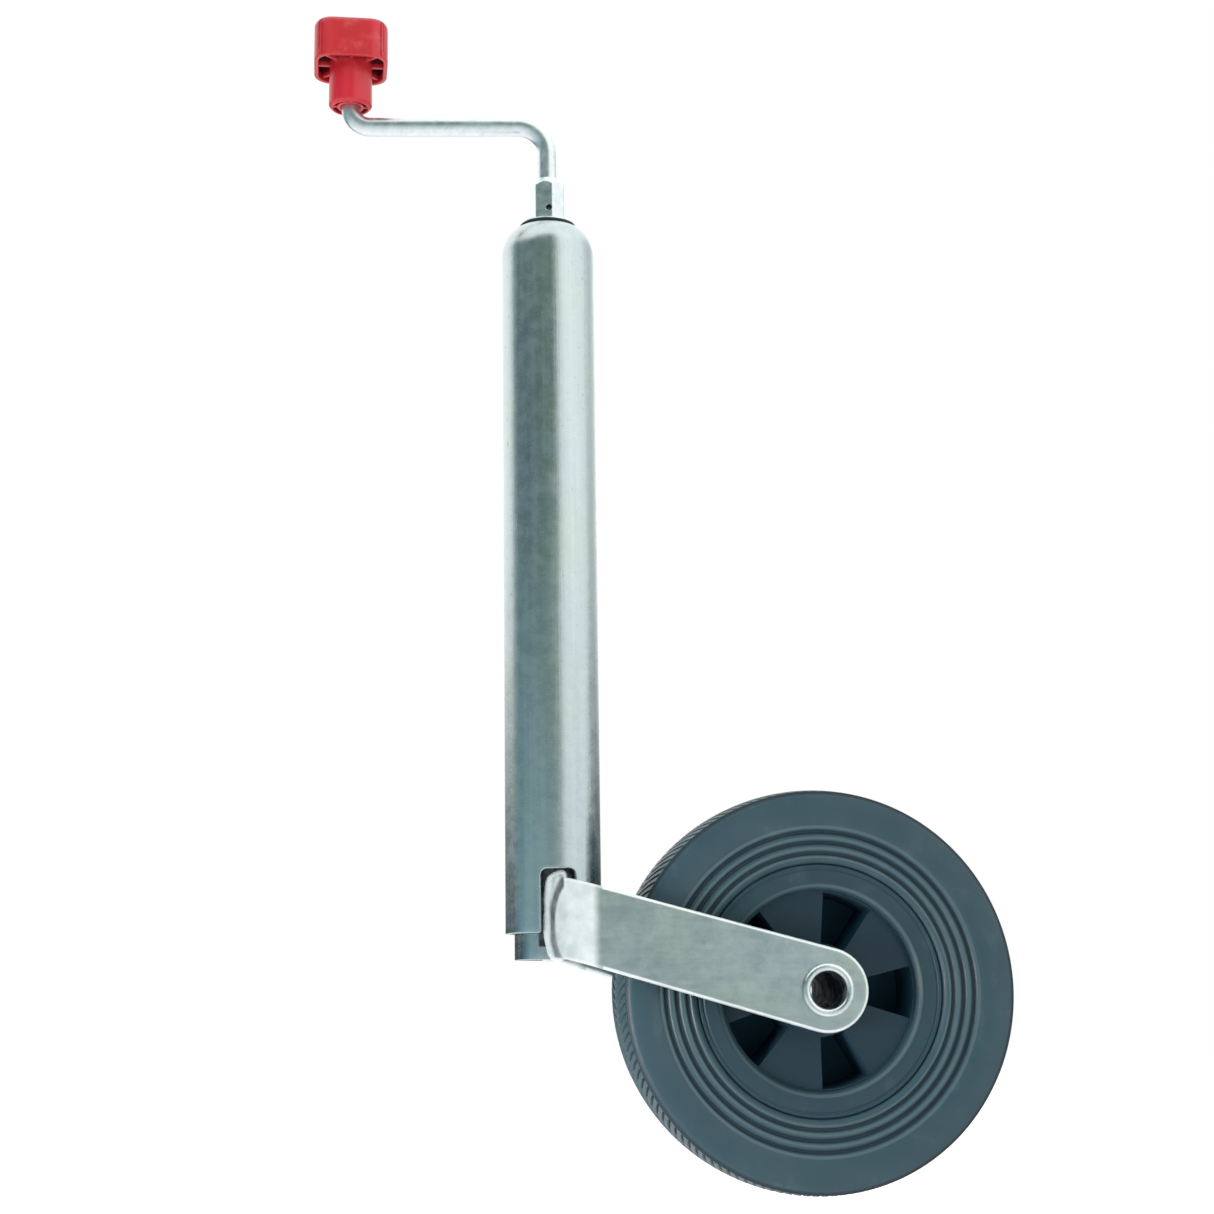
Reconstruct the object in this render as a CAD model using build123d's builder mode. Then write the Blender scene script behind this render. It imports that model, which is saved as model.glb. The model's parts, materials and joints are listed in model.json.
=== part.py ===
from build123d import *
import math
import os

# Trailer tongue jack (jockey wheel): a 48 mm clamp tube, a crank-driven screw, a sliding leg and a wheel.

# ---------------------------------------------------------------- driving dimensions (mm)
# Origin: on the tube's axis, at the middle of the length that a 48 mm clamp can grip.
# +Z runs up the tube, +X points from the tube to the wheel, Y is the wheel's axle direction.
TUBE_BOTTOM = -190.0        # height of the outer tube's lower rim
TUBE_RADIUS = 24.0
TUBE_WALL = 2.5
TUBE_STRAIGHT = 354.0       # straight length below the swaged dome
DOME_RADIUS = 18.0
MOUTH_ANGLE = 60.0          # the dome closes through this angle, to a 15 mm mouth
SLOT_WIDTH = 17.0           # slots in the lower rim that lock the fork straight
SLOT_HEIGHT = 31.2
SLOT_CORNER = 6.0

LEG_RADIUS = 19.5
LEG_WALL = 2.5
LEG_DROP = 13.0             # how far the leg stands out of the outer tube when wound up
LEG_TOP = 298.0             # heights marked "up" are above the outer tube's lower rim

SPINDLE_RADIUS = 8.0
JOURNAL_RADIUS = 7.0
SPINDLE_TIP = 66.0          # up
TAIL_RADIUS = 5.0
TAIL_LENGTH = 14.0
NUT_LENGTH = 28.0

BALL_RADIUS = 2.5
BALL_COUNT = 12
BALL_CIRCLE = 11.6
RACE_THICKNESS = 4.0
RACE_OUTER = 15.8
RACE_SEAT = 346.0           # up, where the upper race bears on the bush

COLLAR_FLATS = 16.0
COLLAR_BOTTOM = 372.2       # up
COLLAR_TOP = 397.0          # up
COLLAR_TURN = 12.0          # degrees
PIN_HEIGHT = 379.2          # up

ROD_RADIUS = 5.0
CRANK_THROW = 105.0
CRANK_HEIGHT = 427.5        # up, centre line of the crank's arm
CRANK_TURN = 6.0            # degrees that the arm stands away from -X at rest

GRIP_BOTTOM = 438.0         # up
GRIP_BLOCK = 460.0          # up, underside of the block
GRIP_TOP = 483.0            # up
GRIP_WIDTH = 39.0
GRIP_DEPTH = 38.0
NECK_RADIUS = 11.5

AXLE_X = 130.5
AXLE_UP = -29.4             # up
STRAP_THICKNESS = 5.0
STRAP_BACK = -3.5           # X of the strap's back face, inside the leg
STRAP_BEND = 19.0           # outer radius of the two bends
ARM_OUTER = 36.0            # half the width over the fork's arms
EYE_RADIUS = 20.7
ARM_TOP_UP = 28.0
ARM_BOTTOM_UP = -11.1

AXLE_RADIUS = 10.5
AXLE_BORE = 9.0
HUB_HALF = 29.0             # half the hub's length
BUSH_OUTER = 12.6
HUB_RADIUS = 20.0
WEB_HALF = 16.0
DISC_RADIUS = 48.5
SEAT_RADIUS = 58.0
RIM_RADIUS = 62.3
WHEEL_RADIUS = 100.0
WHEEL_HALF = 25.0
SPOKE_POCKETS = 5

RUNNING_GAP = 0.06          # radial clearances of a bearing that turns or slides
SLIP_GAP = 0.1              # and of a piece that is only slipped on
PRESS_GAP = 0.05            # and of a piece that a pin then holds
THROUGH = 2 * TUBE_RADIUS   # half length of a cut that runs right through the tubes

# ---------------------------------------------------------------- shared frames and helpers


def up(height):
    """Turn a height above the outer tube's lower rim into a Z in the part's frame."""
    return TUBE_BOTTOM + height


TUBE_AXIS = Axis.Z
AXLE_CENTRE = (AXLE_X, 0, up(AXLE_UP))
AXLE_AXIS = Axis(AXLE_CENTRE, (0, 1, 0))
# local x runs along the axle, local y is the radius
WHEEL_SECTION = Plane(origin=AXLE_CENTRE, x_dir=(0, 1, 0), z_dir=(1, 0, 0))
# local x and y lie across the wheel, local z runs along the axle towards -Y
WHEEL_FACE = Plane(origin=AXLE_CENTRE, x_dir=(1, 0, 0), z_dir=(0, -1, 0))
_turn = math.radians(CRANK_TURN)
CRANK_OUT = (-math.cos(_turn), math.sin(_turn), 0)
CRANK_PLANE = Plane(origin=(0, 0, 0), x_dir=CRANK_OUT, z_dir=(math.sin(_turn), math.cos(_turn), 0))
GRIP_CENTRE = (CRANK_THROW * CRANK_OUT[0], CRANK_THROW * CRANK_OUT[1])


def box_profile(left, right, low, high, mode=Mode.ADD):
    """Draw a rectangle between two local x and two local y values in the open sketch."""
    with Locations(((left + right) / 2, (low + high) / 2)):
        Rectangle(right - left, high - low, mode=mode)


def radial_plane(angle, distance):
    """Place a plane that faces away from the tube's axis, with its local y along +Z."""
    turn = math.radians(angle)
    outward = Vector(math.cos(turn), math.sin(turn), 0)
    return Plane(origin=outward * distance, x_dir=(-math.sin(turn), math.cos(turn), 0), z_dir=outward)


def write(part, name):
    """Label a finished piece and write it as a STEP file."""
    part.label = name
    export_step(part, f"parts/{name}.step")


os.makedirs("parts", exist_ok=True)

# ---------------------------------------------------------------- outer tube and its top
dome_centre = (TUBE_RADIUS - DOME_RADIUS, up(TUBE_STRAIGHT))
dome_inner = DOME_RADIUS - TUBE_WALL
bore_radius = TUBE_RADIUS - TUBE_WALL
mouth_radius = dome_centre[0] + DOME_RADIUS * math.cos(math.radians(MOUTH_ANGLE))
mouth_inner_angle = math.degrees(math.acos((mouth_radius - dome_centre[0]) / dome_inner))

with BuildPart() as outer_tube:
    with BuildSketch(Plane.XZ):
        with BuildLine():
            wall = Line((TUBE_RADIUS, up(0)), (TUBE_RADIUS, up(TUBE_STRAIGHT)))
            dome = CenterArc(dome_centre, DOME_RADIUS, 0, MOUTH_ANGLE)
            lining = CenterArc(dome_centre, dome_inner, mouth_inner_angle, -mouth_inner_angle)
            Line(dome @ 1, lining @ 0)
            Polyline(lining @ 1, (bore_radius, up(0)), wall @ 0)
        make_face()
    revolve(axis=TUBE_AXIS)
    with BuildSketch(Plane.XZ):
        with Locations((0, up(0))):
            RectangleRounded(SLOT_WIDTH, 2 * SLOT_HEIGHT, SLOT_CORNER)
    extrude(amount=THROUGH, both=True, mode=Mode.SUBTRACT)
write(outer_tube.part, "outer_tube")

BUSH_GAP = 0.2
BUSH_EDGE = 1.0             # chamfer round the bush's top
RACE_RECESS = 5.0           # depth of the recess that holds the upper race
bush_shell = dome_inner - BUSH_GAP
bush_neck = mouth_radius - BUSH_GAP
bush_top = COLLAR_BOTTOM - BUSH_GAP
bush_angle = math.degrees(math.acos((bush_neck - dome_centre[0]) / bush_shell))
with BuildPart() as top_bush:
    with BuildSketch(Plane.XZ):
        with BuildLine():
            shell = CenterArc(dome_centre, bush_shell, 0, bush_angle)
            Polyline(
                shell @ 1,
                (bush_neck, up(bush_top - BUSH_EDGE)),
                (bush_neck - BUSH_EDGE, up(bush_top)),
                (JOURNAL_RADIUS + SLIP_GAP, up(bush_top)),
                (JOURNAL_RADIUS + SLIP_GAP, up(RACE_SEAT)),
                (RACE_OUTER + SLIP_GAP, up(RACE_SEAT)),
                (RACE_OUTER + SLIP_GAP, up(RACE_SEAT - RACE_RECESS)),
                (bore_radius - BUSH_GAP, up(RACE_SEAT - RACE_RECESS)),
                shell @ 0,
            )
        make_face()
    revolve(axis=TUBE_AXIS)
write(top_bush.part, "top_bush")

BUSH_LOW = 36.0             # up
BUSH_HIGH = 60.0            # up
with BuildPart() as lower_guide_bush:
    with BuildSketch(Plane.XZ):
        box_profile(LEG_RADIUS + RUNNING_GAP, bore_radius, up(BUSH_LOW), up(BUSH_HIGH))
    revolve(axis=TUBE_AXIS)
write(lower_guide_bush.part, "lower_guide_bush")

# ---------------------------------------------------------------- thrust bearing
GROOVE_DEPTH = 1.0          # how deep the balls sit in each race
BALL_GAP = 0.03
ball_track = BALL_RADIUS + BALL_GAP
upper_face = RACE_SEAT - RACE_THICKNESS
ball_height = upper_face + GROOVE_DEPTH - ball_track
lower_face = ball_height - ball_track + GROOVE_DEPTH
race_spans = {
    "upper_race": (upper_face, upper_face + RACE_THICKNESS),
    "lower_race": (lower_face - RACE_THICKNESS, lower_face),
}
for race_name, (low, high) in race_spans.items():
    with BuildPart() as race:
        with BuildSketch(Plane.XZ):
            box_profile(JOURNAL_RADIUS + SLIP_GAP, RACE_OUTER, up(low), up(high))
            with Locations((BALL_CIRCLE, up(ball_height))):
                Circle(ball_track, mode=Mode.SUBTRACT)
        revolve(axis=TUBE_AXIS)
    write(race.part, race_name)

with BuildPart() as bearing_balls:
    with Locations((0, 0, up(ball_height))):
        with PolarLocations(BALL_CIRCLE, BALL_COUNT):
            Sphere(BALL_RADIUS)
write(bearing_balls.part, "bearing_balls")

CAGE_THICKNESS = 1.4
CAGE_OUTER = 15.2
CAGE_INNER = 7.8
with BuildPart() as ball_cage:
    with BuildSketch(Plane.XY.offset(up(ball_height) - CAGE_THICKNESS / 2)):
        Circle(CAGE_OUTER)
        Circle(CAGE_INNER, mode=Mode.SUBTRACT)
        with PolarLocations(BALL_CIRCLE, BALL_COUNT):
            Circle(BALL_RADIUS + SLIP_GAP, mode=Mode.SUBTRACT)
    extrude(amount=CAGE_THICKNESS)
write(ball_cage.part, "ball_cage")

# ---------------------------------------------------------------- spindle, collar and crank
SHOULDER_RADIUS = 11.5
SHOULDER_LENGTH = 6.0
JOINT_HEIGHT = 385.0        # up, where the spindle ends and the crank rod begins
STOP_PIN_DROP = 9.0         # below the spindle's tip
STOP_PIN_RADIUS = 2.0
STOP_PIN_HALF = 10.0        # half its length
COLLAR_PIN_RADIUS = 1.5
COLLAR_PIN_HALF = 6.8       # half its length, so that it ends a little below the collar's flats
ROLL_PIN_BORE = 0.6         # bore of a roll pin, as a share of its radius
spindle_shoulder = lower_face - RACE_THICKNESS
stop_pin_height = SPINDLE_TIP - STOP_PIN_DROP
with BuildPart() as spindle:
    with BuildSketch(Plane.XZ):
        box_profile(0, JOURNAL_RADIUS, up(spindle_shoulder), up(JOINT_HEIGHT))
        box_profile(0, SHOULDER_RADIUS, up(spindle_shoulder - SHOULDER_LENGTH), up(spindle_shoulder))
        box_profile(0, SPINDLE_RADIUS, up(SPINDLE_TIP), up(spindle_shoulder - SHOULDER_LENGTH))
        box_profile(0, TAIL_RADIUS, up(SPINDLE_TIP - TAIL_LENGTH), up(SPINDLE_TIP))
    revolve(axis=TUBE_AXIS)
    with BuildSketch(Plane.XZ):
        with Locations((0, up(stop_pin_height))):
            Circle(STOP_PIN_RADIUS)
        with Locations((0, up(PIN_HEIGHT))):
            Circle(COLLAR_PIN_RADIUS)
    extrude(amount=THROUGH, both=True, mode=Mode.SUBTRACT)
write(spindle.part, "spindle")

STOP_RADIUS = 14.5
STOP_THICKNESS = 4.0
with BuildPart() as stop_washer:
    with BuildSketch(Plane.XZ):
        box_profile(TAIL_RADIUS + PRESS_GAP, STOP_RADIUS, up(SPINDLE_TIP - STOP_THICKNESS), up(SPINDLE_TIP))
    revolve(axis=TUBE_AXIS)
write(stop_washer.part, "stop_washer")

with BuildPart() as stop_pin:
    with BuildSketch(Plane.XZ):
        with Locations((0, up(stop_pin_height))):
            Circle(STOP_PIN_RADIUS)
            Circle(ROLL_PIN_BORE * STOP_PIN_RADIUS, mode=Mode.SUBTRACT)
    extrude(amount=STOP_PIN_HALF, both=True)
write(stop_pin.part, "stop_pin")

CONE_START = 391.5          # up, where the collar's flats run out into its cone
CONE_RADIUS = 9.6           # at the cone's foot, past the collar's corners
COLLAR_LAND = 1.0           # flat ring left round the rod at the collar's top
with BuildPart() as hex_collar:
    with BuildSketch(Plane.XY.offset(up(COLLAR_BOTTOM))):
        RegularPolygon(COLLAR_FLATS / 2, 6, major_radius=False, rotation=COLLAR_TURN)
    extrude(amount=COLLAR_TOP - COLLAR_BOTTOM)
    with BuildSketch(Plane.XZ):
        with BuildLine():
            Polyline(
                (ROD_RADIUS + COLLAR_LAND, up(COLLAR_TOP)),
                (CONE_RADIUS, up(CONE_START)),
                (COLLAR_FLATS, up(CONE_START)),
                (COLLAR_FLATS, up(COLLAR_TOP)),
                close=True,
            )
        make_face()
    revolve(axis=TUBE_AXIS, mode=Mode.SUBTRACT)
    with BuildSketch(Plane.XZ):
        box_profile(0, JOURNAL_RADIUS + PRESS_GAP, up(COLLAR_BOTTOM), up(JOINT_HEIGHT))
        box_profile(0, ROD_RADIUS + PRESS_GAP, up(JOINT_HEIGHT), up(COLLAR_TOP))
    revolve(axis=TUBE_AXIS, mode=Mode.SUBTRACT)
    with BuildSketch(Plane.XZ):
        with Locations((0, up(PIN_HEIGHT))):
            Circle(COLLAR_PIN_RADIUS)
    extrude(amount=THROUGH, both=True, mode=Mode.SUBTRACT)
write(hex_collar.part, "hex_collar")

with BuildPart() as collar_pin:
    with BuildSketch(Plane.XZ):
        with Locations((0, up(PIN_HEIGHT))):
            Circle(COLLAR_PIN_RADIUS)
            Circle(ROLL_PIN_BORE * COLLAR_PIN_RADIUS, mode=Mode.SUBTRACT)
    extrude(amount=COLLAR_PIN_HALF, both=True)
write(collar_pin.part, "collar_pin")

ROD_END = 475.5             # up
BEND_RADII = [16, 11]       # above the tube and below the grip
with BuildPart() as crank_rod:
    with BuildLine(CRANK_PLANE) as crank_path:
        FilletPolyline(
            (0, up(JOINT_HEIGHT)),
            (0, up(CRANK_HEIGHT)),
            (CRANK_THROW, up(CRANK_HEIGHT)),
            (CRANK_THROW, up(ROD_END)),
            radius=BEND_RADII,
        )
    with BuildSketch(Plane.XY.offset(up(JOINT_HEIGHT))):
        Circle(ROD_RADIUS)
    sweep(path=crank_path.line)
write(crank_rod.part, "crank_rod")

RETAINER_HEIGHT = 471.0     # up
RETAINER_RADIUS = 8.0
RETAINER_THICKNESS = 1.2
with BuildPart() as grip_retainer:
    with BuildSketch(Plane.XY.offset(up(RETAINER_HEIGHT))):
        with Locations(GRIP_CENTRE):
            Circle(RETAINER_RADIUS)
            Circle(ROD_RADIUS, mode=Mode.SUBTRACT)
    extrude(amount=RETAINER_THICKNESS)
write(grip_retainer.part, "grip_retainer")

# ---------------------------------------------------------------- grip
GRIP_CORNER = 10.0
GRIP_WALL = 2.4
GRIP_ROUNDING = 4.0         # of the edge round the top
ROOF = 4.5
RIB = 2.2
RIB_INSET = 1.5             # how far the ribs stay above the block's rim
NECK_CHAMFER = 1.5
NECK_POCKET = (7.2, 9.2)    # inner and outer radius of the ring-shaped hollow in the neck
NECK_POCKET_DEPTH = 9.0
ROD_GAP = 0.08
END_GAP = 0.8               # above the rod's end
RETAINER_ROOM = 0.3         # below the retainer and above it
RETAINER_ROOM_RADIUS = 8.7
grip_cavity = GRIP_TOP - ROOF
with BuildPart() as grip:
    with BuildSketch(Plane.XY.offset(up(GRIP_BLOCK))):
        with Locations(GRIP_CENTRE):
            RectangleRounded(GRIP_WIDTH, GRIP_DEPTH, GRIP_CORNER)
    extrude(amount=GRIP_TOP - GRIP_BLOCK)
    fillet(grip.edges().group_by(Axis.Z)[-1], radius=GRIP_ROUNDING)
    with BuildSketch(Plane.XY.offset(up(GRIP_BLOCK))):
        with Locations(GRIP_CENTRE):
            RectangleRounded(
                GRIP_WIDTH - 2 * GRIP_WALL, GRIP_DEPTH - 2 * GRIP_WALL, GRIP_CORNER - GRIP_WALL
            )
    extrude(amount=grip_cavity - GRIP_BLOCK, mode=Mode.SUBTRACT)
    with BuildSketch(Plane.XY.offset(up(GRIP_BLOCK + RIB_INSET))):
        with Locations(GRIP_CENTRE):
            for rib_angle in range(0, 180, 45):
                Rectangle(GRIP_WIDTH - GRIP_WALL, RIB, rotation=rib_angle)
    extrude(amount=grip_cavity - GRIP_BLOCK - RIB_INSET)
    with BuildSketch(Plane.XY.offset(up(GRIP_BOTTOM))):
        with Locations(GRIP_CENTRE):
            Circle(NECK_RADIUS)
    extrude(amount=grip_cavity - GRIP_BOTTOM)
    chamfer(grip.edges().group_by(Axis.Z)[0], length=NECK_CHAMFER)
    with BuildSketch(Plane.XY.offset(up(GRIP_BOTTOM))):
        with Locations(GRIP_CENTRE):
            Circle(NECK_POCKET[1])
            Circle(NECK_POCKET[0], mode=Mode.SUBTRACT)
            for rib_angle in (0, 90):
                Rectangle(4 * NECK_RADIUS, RIB, rotation=rib_angle, mode=Mode.SUBTRACT)
    extrude(amount=NECK_POCKET_DEPTH, mode=Mode.SUBTRACT)
    with BuildSketch(Plane.XY.offset(up(GRIP_BOTTOM))):
        with Locations(GRIP_CENTRE):
            Circle(ROD_RADIUS + ROD_GAP)
    extrude(amount=ROD_END + END_GAP - GRIP_BOTTOM, mode=Mode.SUBTRACT)
    with BuildSketch(Plane.XY.offset(up(RETAINER_HEIGHT - RETAINER_ROOM))):
        with Locations(GRIP_CENTRE):
            Circle(RETAINER_ROOM_RADIUS)
    extrude(amount=RETAINER_THICKNESS + 2 * RETAINER_ROOM, mode=Mode.SUBTRACT)
write(grip.part, "grip")

# ---------------------------------------------------------------- leg: inner tube, nut and upper guide ring
leg_bore = LEG_RADIUS - LEG_WALL
strap_front = STRAP_BACK + STRAP_THICKNESS
GUIDE_LOW = 286.0           # up
GUIDE_HIGH = 295.0          # up
GUIDE_GROOVE = 1.0
GUIDE_END_GAP = 0.1         # above the ring and below it, in its groove
FORK_GAP = 0.3              # in front of the strap, in the leg's slot
NUT_PIN_RADIUS = 3.0
NUT_PIN_HEIGHT = 278.0      # up
NUT_PIN_DEPTH = 3.0
NUT_PIN_SINK = 0.3          # how far below the leg's surface a pin ends
NUT_PIN_ANGLES = (0, 90, 180, 270)
with BuildPart() as inner_tube:
    with BuildSketch(Plane.XZ):
        box_profile(leg_bore, LEG_RADIUS, up(-LEG_DROP), up(LEG_TOP))
        box_profile(LEG_RADIUS - GUIDE_GROOVE, TUBE_RADIUS, up(GUIDE_LOW), up(GUIDE_HIGH), Mode.SUBTRACT)
    revolve(axis=TUBE_AXIS)
    for angle in NUT_PIN_ANGLES:
        with BuildSketch(radial_plane(angle, leg_bore - LEG_WALL)):
            with Locations((0, up(NUT_PIN_HEIGHT))):
                Circle(NUT_PIN_RADIUS)
        extrude(amount=3 * LEG_WALL, mode=Mode.SUBTRACT)
    with BuildSketch(Plane.XZ):
        box_profile(STRAP_BACK, strap_front + FORK_GAP, up(-2 * LEG_DROP), up(ARM_TOP_UP + 2 * FORK_GAP))
    extrude(amount=THROUGH, both=True, mode=Mode.SUBTRACT)
write(inner_tube.part, "inner_tube")

NUT_SINK = 2.0              # how far below the leg's top the nut ends
nut_top = LEG_TOP - NUT_SINK
with BuildPart() as spindle_nut:
    with BuildSketch(Plane.XZ):
        box_profile(SPINDLE_RADIUS + RUNNING_GAP, leg_bore, up(nut_top - NUT_LENGTH), up(nut_top))
    revolve(axis=TUBE_AXIS)
    for angle in NUT_PIN_ANGLES:
        with BuildSketch(radial_plane(angle, leg_bore - NUT_PIN_DEPTH)):
            with Locations((0, up(NUT_PIN_HEIGHT))):
                Circle(NUT_PIN_RADIUS)
        extrude(amount=2 * NUT_PIN_DEPTH, mode=Mode.SUBTRACT)
write(spindle_nut.part, "spindle_nut")

with BuildPart() as nut_pins:
    for angle in NUT_PIN_ANGLES:
        with BuildSketch(radial_plane(angle, leg_bore - NUT_PIN_DEPTH)):
            with Locations((0, up(NUT_PIN_HEIGHT))):
                Circle(NUT_PIN_RADIUS)
        extrude(amount=NUT_PIN_DEPTH + LEG_WALL - NUT_PIN_SINK)
write(nut_pins.part, "nut_pins")

ring_inner = LEG_RADIUS - GUIDE_GROOVE + RUNNING_GAP
ring_outer = bore_radius - RUNNING_GAP
with BuildPart() as guide_ring:
    with BuildSketch(Plane.XZ):
        box_profile(ring_inner, ring_outer, up(GUIDE_LOW + GUIDE_END_GAP), up(GUIDE_HIGH - GUIDE_END_GAP))
    revolve(axis=TUBE_AXIS)
write(guide_ring.part, "guide_ring")

# ---------------------------------------------------------------- fork, its welds and the axle
TANG = 0.5                  # straight stretch of the strap's outline at its back edge
arm_inner = ARM_OUTER - STRAP_THICKNESS
arm_reach = AXLE_X + 2 * EYE_RADIUS
fork_floor = AXLE_UP - 2 * EYE_RADIUS
with BuildPart() as fork_strap:
    with BuildSketch(Plane.XY.offset(up(fork_floor))):
        with BuildLine():
            outside = FilletPolyline(
                (arm_reach, -ARM_OUTER), (STRAP_BACK, -ARM_OUTER),
                (STRAP_BACK, ARM_OUTER), (arm_reach, ARM_OUTER),
                radius=STRAP_BEND,
            )
            inside = FilletPolyline(
                (arm_reach, -arm_inner), (strap_front, -arm_inner),
                (strap_front, arm_inner), (arm_reach, arm_inner),
                radius=STRAP_BEND - STRAP_THICKNESS,
            )
            Line(outside @ 0, inside @ 0)
            Line(outside @ 1, inside @ 1)
        make_face()
    extrude(amount=ARM_TOP_UP + EYE_RADIUS - fork_floor)
    with BuildSketch(Plane.XZ):
        with Locations((AXLE_X, up(AXLE_UP))):
            Circle(EYE_RADIUS)
        box_profile(STRAP_BACK, STRAP_BACK + TANG, up(ARM_BOTTOM_UP), up(ARM_TOP_UP))
        make_hull()
    extrude(amount=2 * ARM_OUTER, both=True, mode=Mode.INTERSECT)
    with BuildSketch(WHEEL_FACE.offset(-2 * ARM_OUTER)):
        Circle(AXLE_RADIUS)
    extrude(amount=4 * ARM_OUTER, mode=Mode.SUBTRACT)
write(fork_strap.part, "fork_strap")

BEAD = 3.0                  # how far a weld stands out beside the strap
BEAD_RUNOUT = 2.4           # and above and below it
BEAD_ROUNDING = 1.6
BEAD_FLOOR = 18.4           # distances of the weld's foot and crown from the tube's axis, along Y
BEAD_CROWN = 21.1
bead_middle = ((STRAP_BACK + strap_front) / 2, up((ARM_BOTTOM_UP + ARM_TOP_UP) / 2))
bead_width = STRAP_THICKNESS + 2 * BEAD
bead_height = ARM_TOP_UP - ARM_BOTTOM_UP + 2 * BEAD_RUNOUT
with BuildPart() as weld_beads:
    for side in (-1, 1):
        seam_plane = Plane(origin=(0, side * BEAD_FLOOR, 0), x_dir=(1, 0, 0), z_dir=(0, -1, 0))
        with BuildSketch(seam_plane):
            with Locations(bead_middle):
                RectangleRounded(bead_width, bead_height, BEAD)
        extrude(amount=-side * (BEAD_CROWN - BEAD_FLOOR))
    fillet(weld_beads.faces().group_by(Axis.Y)[0].edges(), radius=BEAD_ROUNDING)
    fillet(weld_beads.faces().group_by(Axis.Y)[-1].edges(), radius=BEAD_ROUNDING)
    add(fork_strap.part, mode=Mode.SUBTRACT)
    add(inner_tube.part, mode=Mode.SUBTRACT)
write(weld_beads.part, "weld_beads")

LIP_RADIUS = 13.0
LIP_HEIGHT = 2.2
with BuildPart() as axle_tube:
    with BuildSketch(WHEEL_SECTION):
        with BuildLine():
            Polyline((0, AXLE_BORE), (ARM_OUTER, AXLE_BORE))
            ThreePointArc(
                (ARM_OUTER, AXLE_BORE),
                (ARM_OUTER + LIP_HEIGHT, (AXLE_BORE + LIP_RADIUS) / 2),
                (ARM_OUTER, LIP_RADIUS),
            )
            Polyline((ARM_OUTER, LIP_RADIUS), (ARM_OUTER, AXLE_RADIUS), (0, AXLE_RADIUS), (0, AXLE_BORE))
        make_face()
    revolve(axis=AXLE_AXIS)
    mirror(about=Plane.XZ)
write(axle_tube.part, "axle_tube")

WASHER_RADIUS = 18.0
WASHER_SIDE_GAP = 0.15      # between a washer and the hub
washer_bore = AXLE_RADIUS + PRESS_GAP
washer_span = (HUB_HALF + WASHER_SIDE_GAP, arm_inner - PRESS_GAP)
with BuildPart() as axle_washers:
    with BuildSketch(WHEEL_SECTION):
        box_profile(washer_span[0], washer_span[1], washer_bore, WASHER_RADIUS)
        box_profile(-washer_span[1], -washer_span[0], washer_bore, WASHER_RADIUS)
    revolve(axis=AXLE_AXIS)
write(axle_washers.part, "axle_washers")

# ---------------------------------------------------------------- wheel
with BuildPart() as hub_bush:
    with BuildSketch(WHEEL_SECTION):
        box_profile(-HUB_HALF, HUB_HALF, AXLE_RADIUS + RUNNING_GAP, BUSH_OUTER)
    revolve(axis=AXLE_AXIS)
write(hub_bush.part, "hub_bush")

EDGE = 1.0                  # small chamfers of the moulding
HUB_CHAMFER = 2.0
HUB_DRAFT = 1.5             # how much the hub grows towards the disc
FLANGE = 21.5               # half the rim's width over its flanges
SEAT_HALF = 14.0
FLANGE_ROOT = 16.0
POCKET_INNER = 23.0
POCKET_FLOOR = 13.0         # how far past the wheel's middle a pocket reaches
FRONT_POCKET = 30.0         # degrees
BACK_POCKET = 34.0
FIRST_POCKET = 70.0
pocket_pitch = 360 / SPOKE_POCKETS
# each pocket: the side it opens to, its middle's angle and its width in degrees
front_pockets = [(1, FIRST_POCKET + number * pocket_pitch, FRONT_POCKET) for number in range(SPOKE_POCKETS)]
back_pockets = [(-1, middle + pocket_pitch / 2, BACK_POCKET) for _, middle, _ in front_pockets]
with BuildPart() as wheel_rim:
    with BuildSketch(WHEEL_SECTION):
        with BuildLine():
            Polyline(
                (0, BUSH_OUTER),
                (HUB_HALF, BUSH_OUTER),
                (HUB_HALF, HUB_RADIUS - HUB_CHAMFER),
                (HUB_HALF - HUB_CHAMFER, HUB_RADIUS),
                (WEB_HALF, HUB_RADIUS + HUB_DRAFT),
                (WEB_HALF, DISC_RADIUS),
                (FLANGE - 2 * EDGE, DISC_RADIUS + EDGE),
                (FLANGE, DISC_RADIUS + 4 * EDGE),
                (FLANGE, RIM_RADIUS - EDGE),
                (FLANGE - EDGE, RIM_RADIUS),
                (FLANGE_ROOT, RIM_RADIUS),
                (SEAT_HALF, SEAT_RADIUS),
                (0, SEAT_RADIUS),
                close=True,
            )
        make_face()
    revolve(axis=AXLE_AXIS)
    mirror(about=Plane.XZ)
    for facing, middle, width in front_pockets + back_pockets:
        with BuildSketch(WHEEL_FACE.offset(-facing * POCKET_FLOOR)):
            with BuildLine():
                rim_side = CenterArc((0, 0), DISC_RADIUS, middle - width / 2, width)
                hub_side = CenterArc((0, 0), POCKET_INNER, middle - width / 2, width)
                Line(rim_side @ 0, hub_side @ 0)
                Line(rim_side @ 1, hub_side @ 1)
            make_face()
        extrude(amount=facing * (POCKET_FLOOR + HUB_HALF), mode=Mode.SUBTRACT)
write(wheel_rim.part, "wheel_rim")

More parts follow.
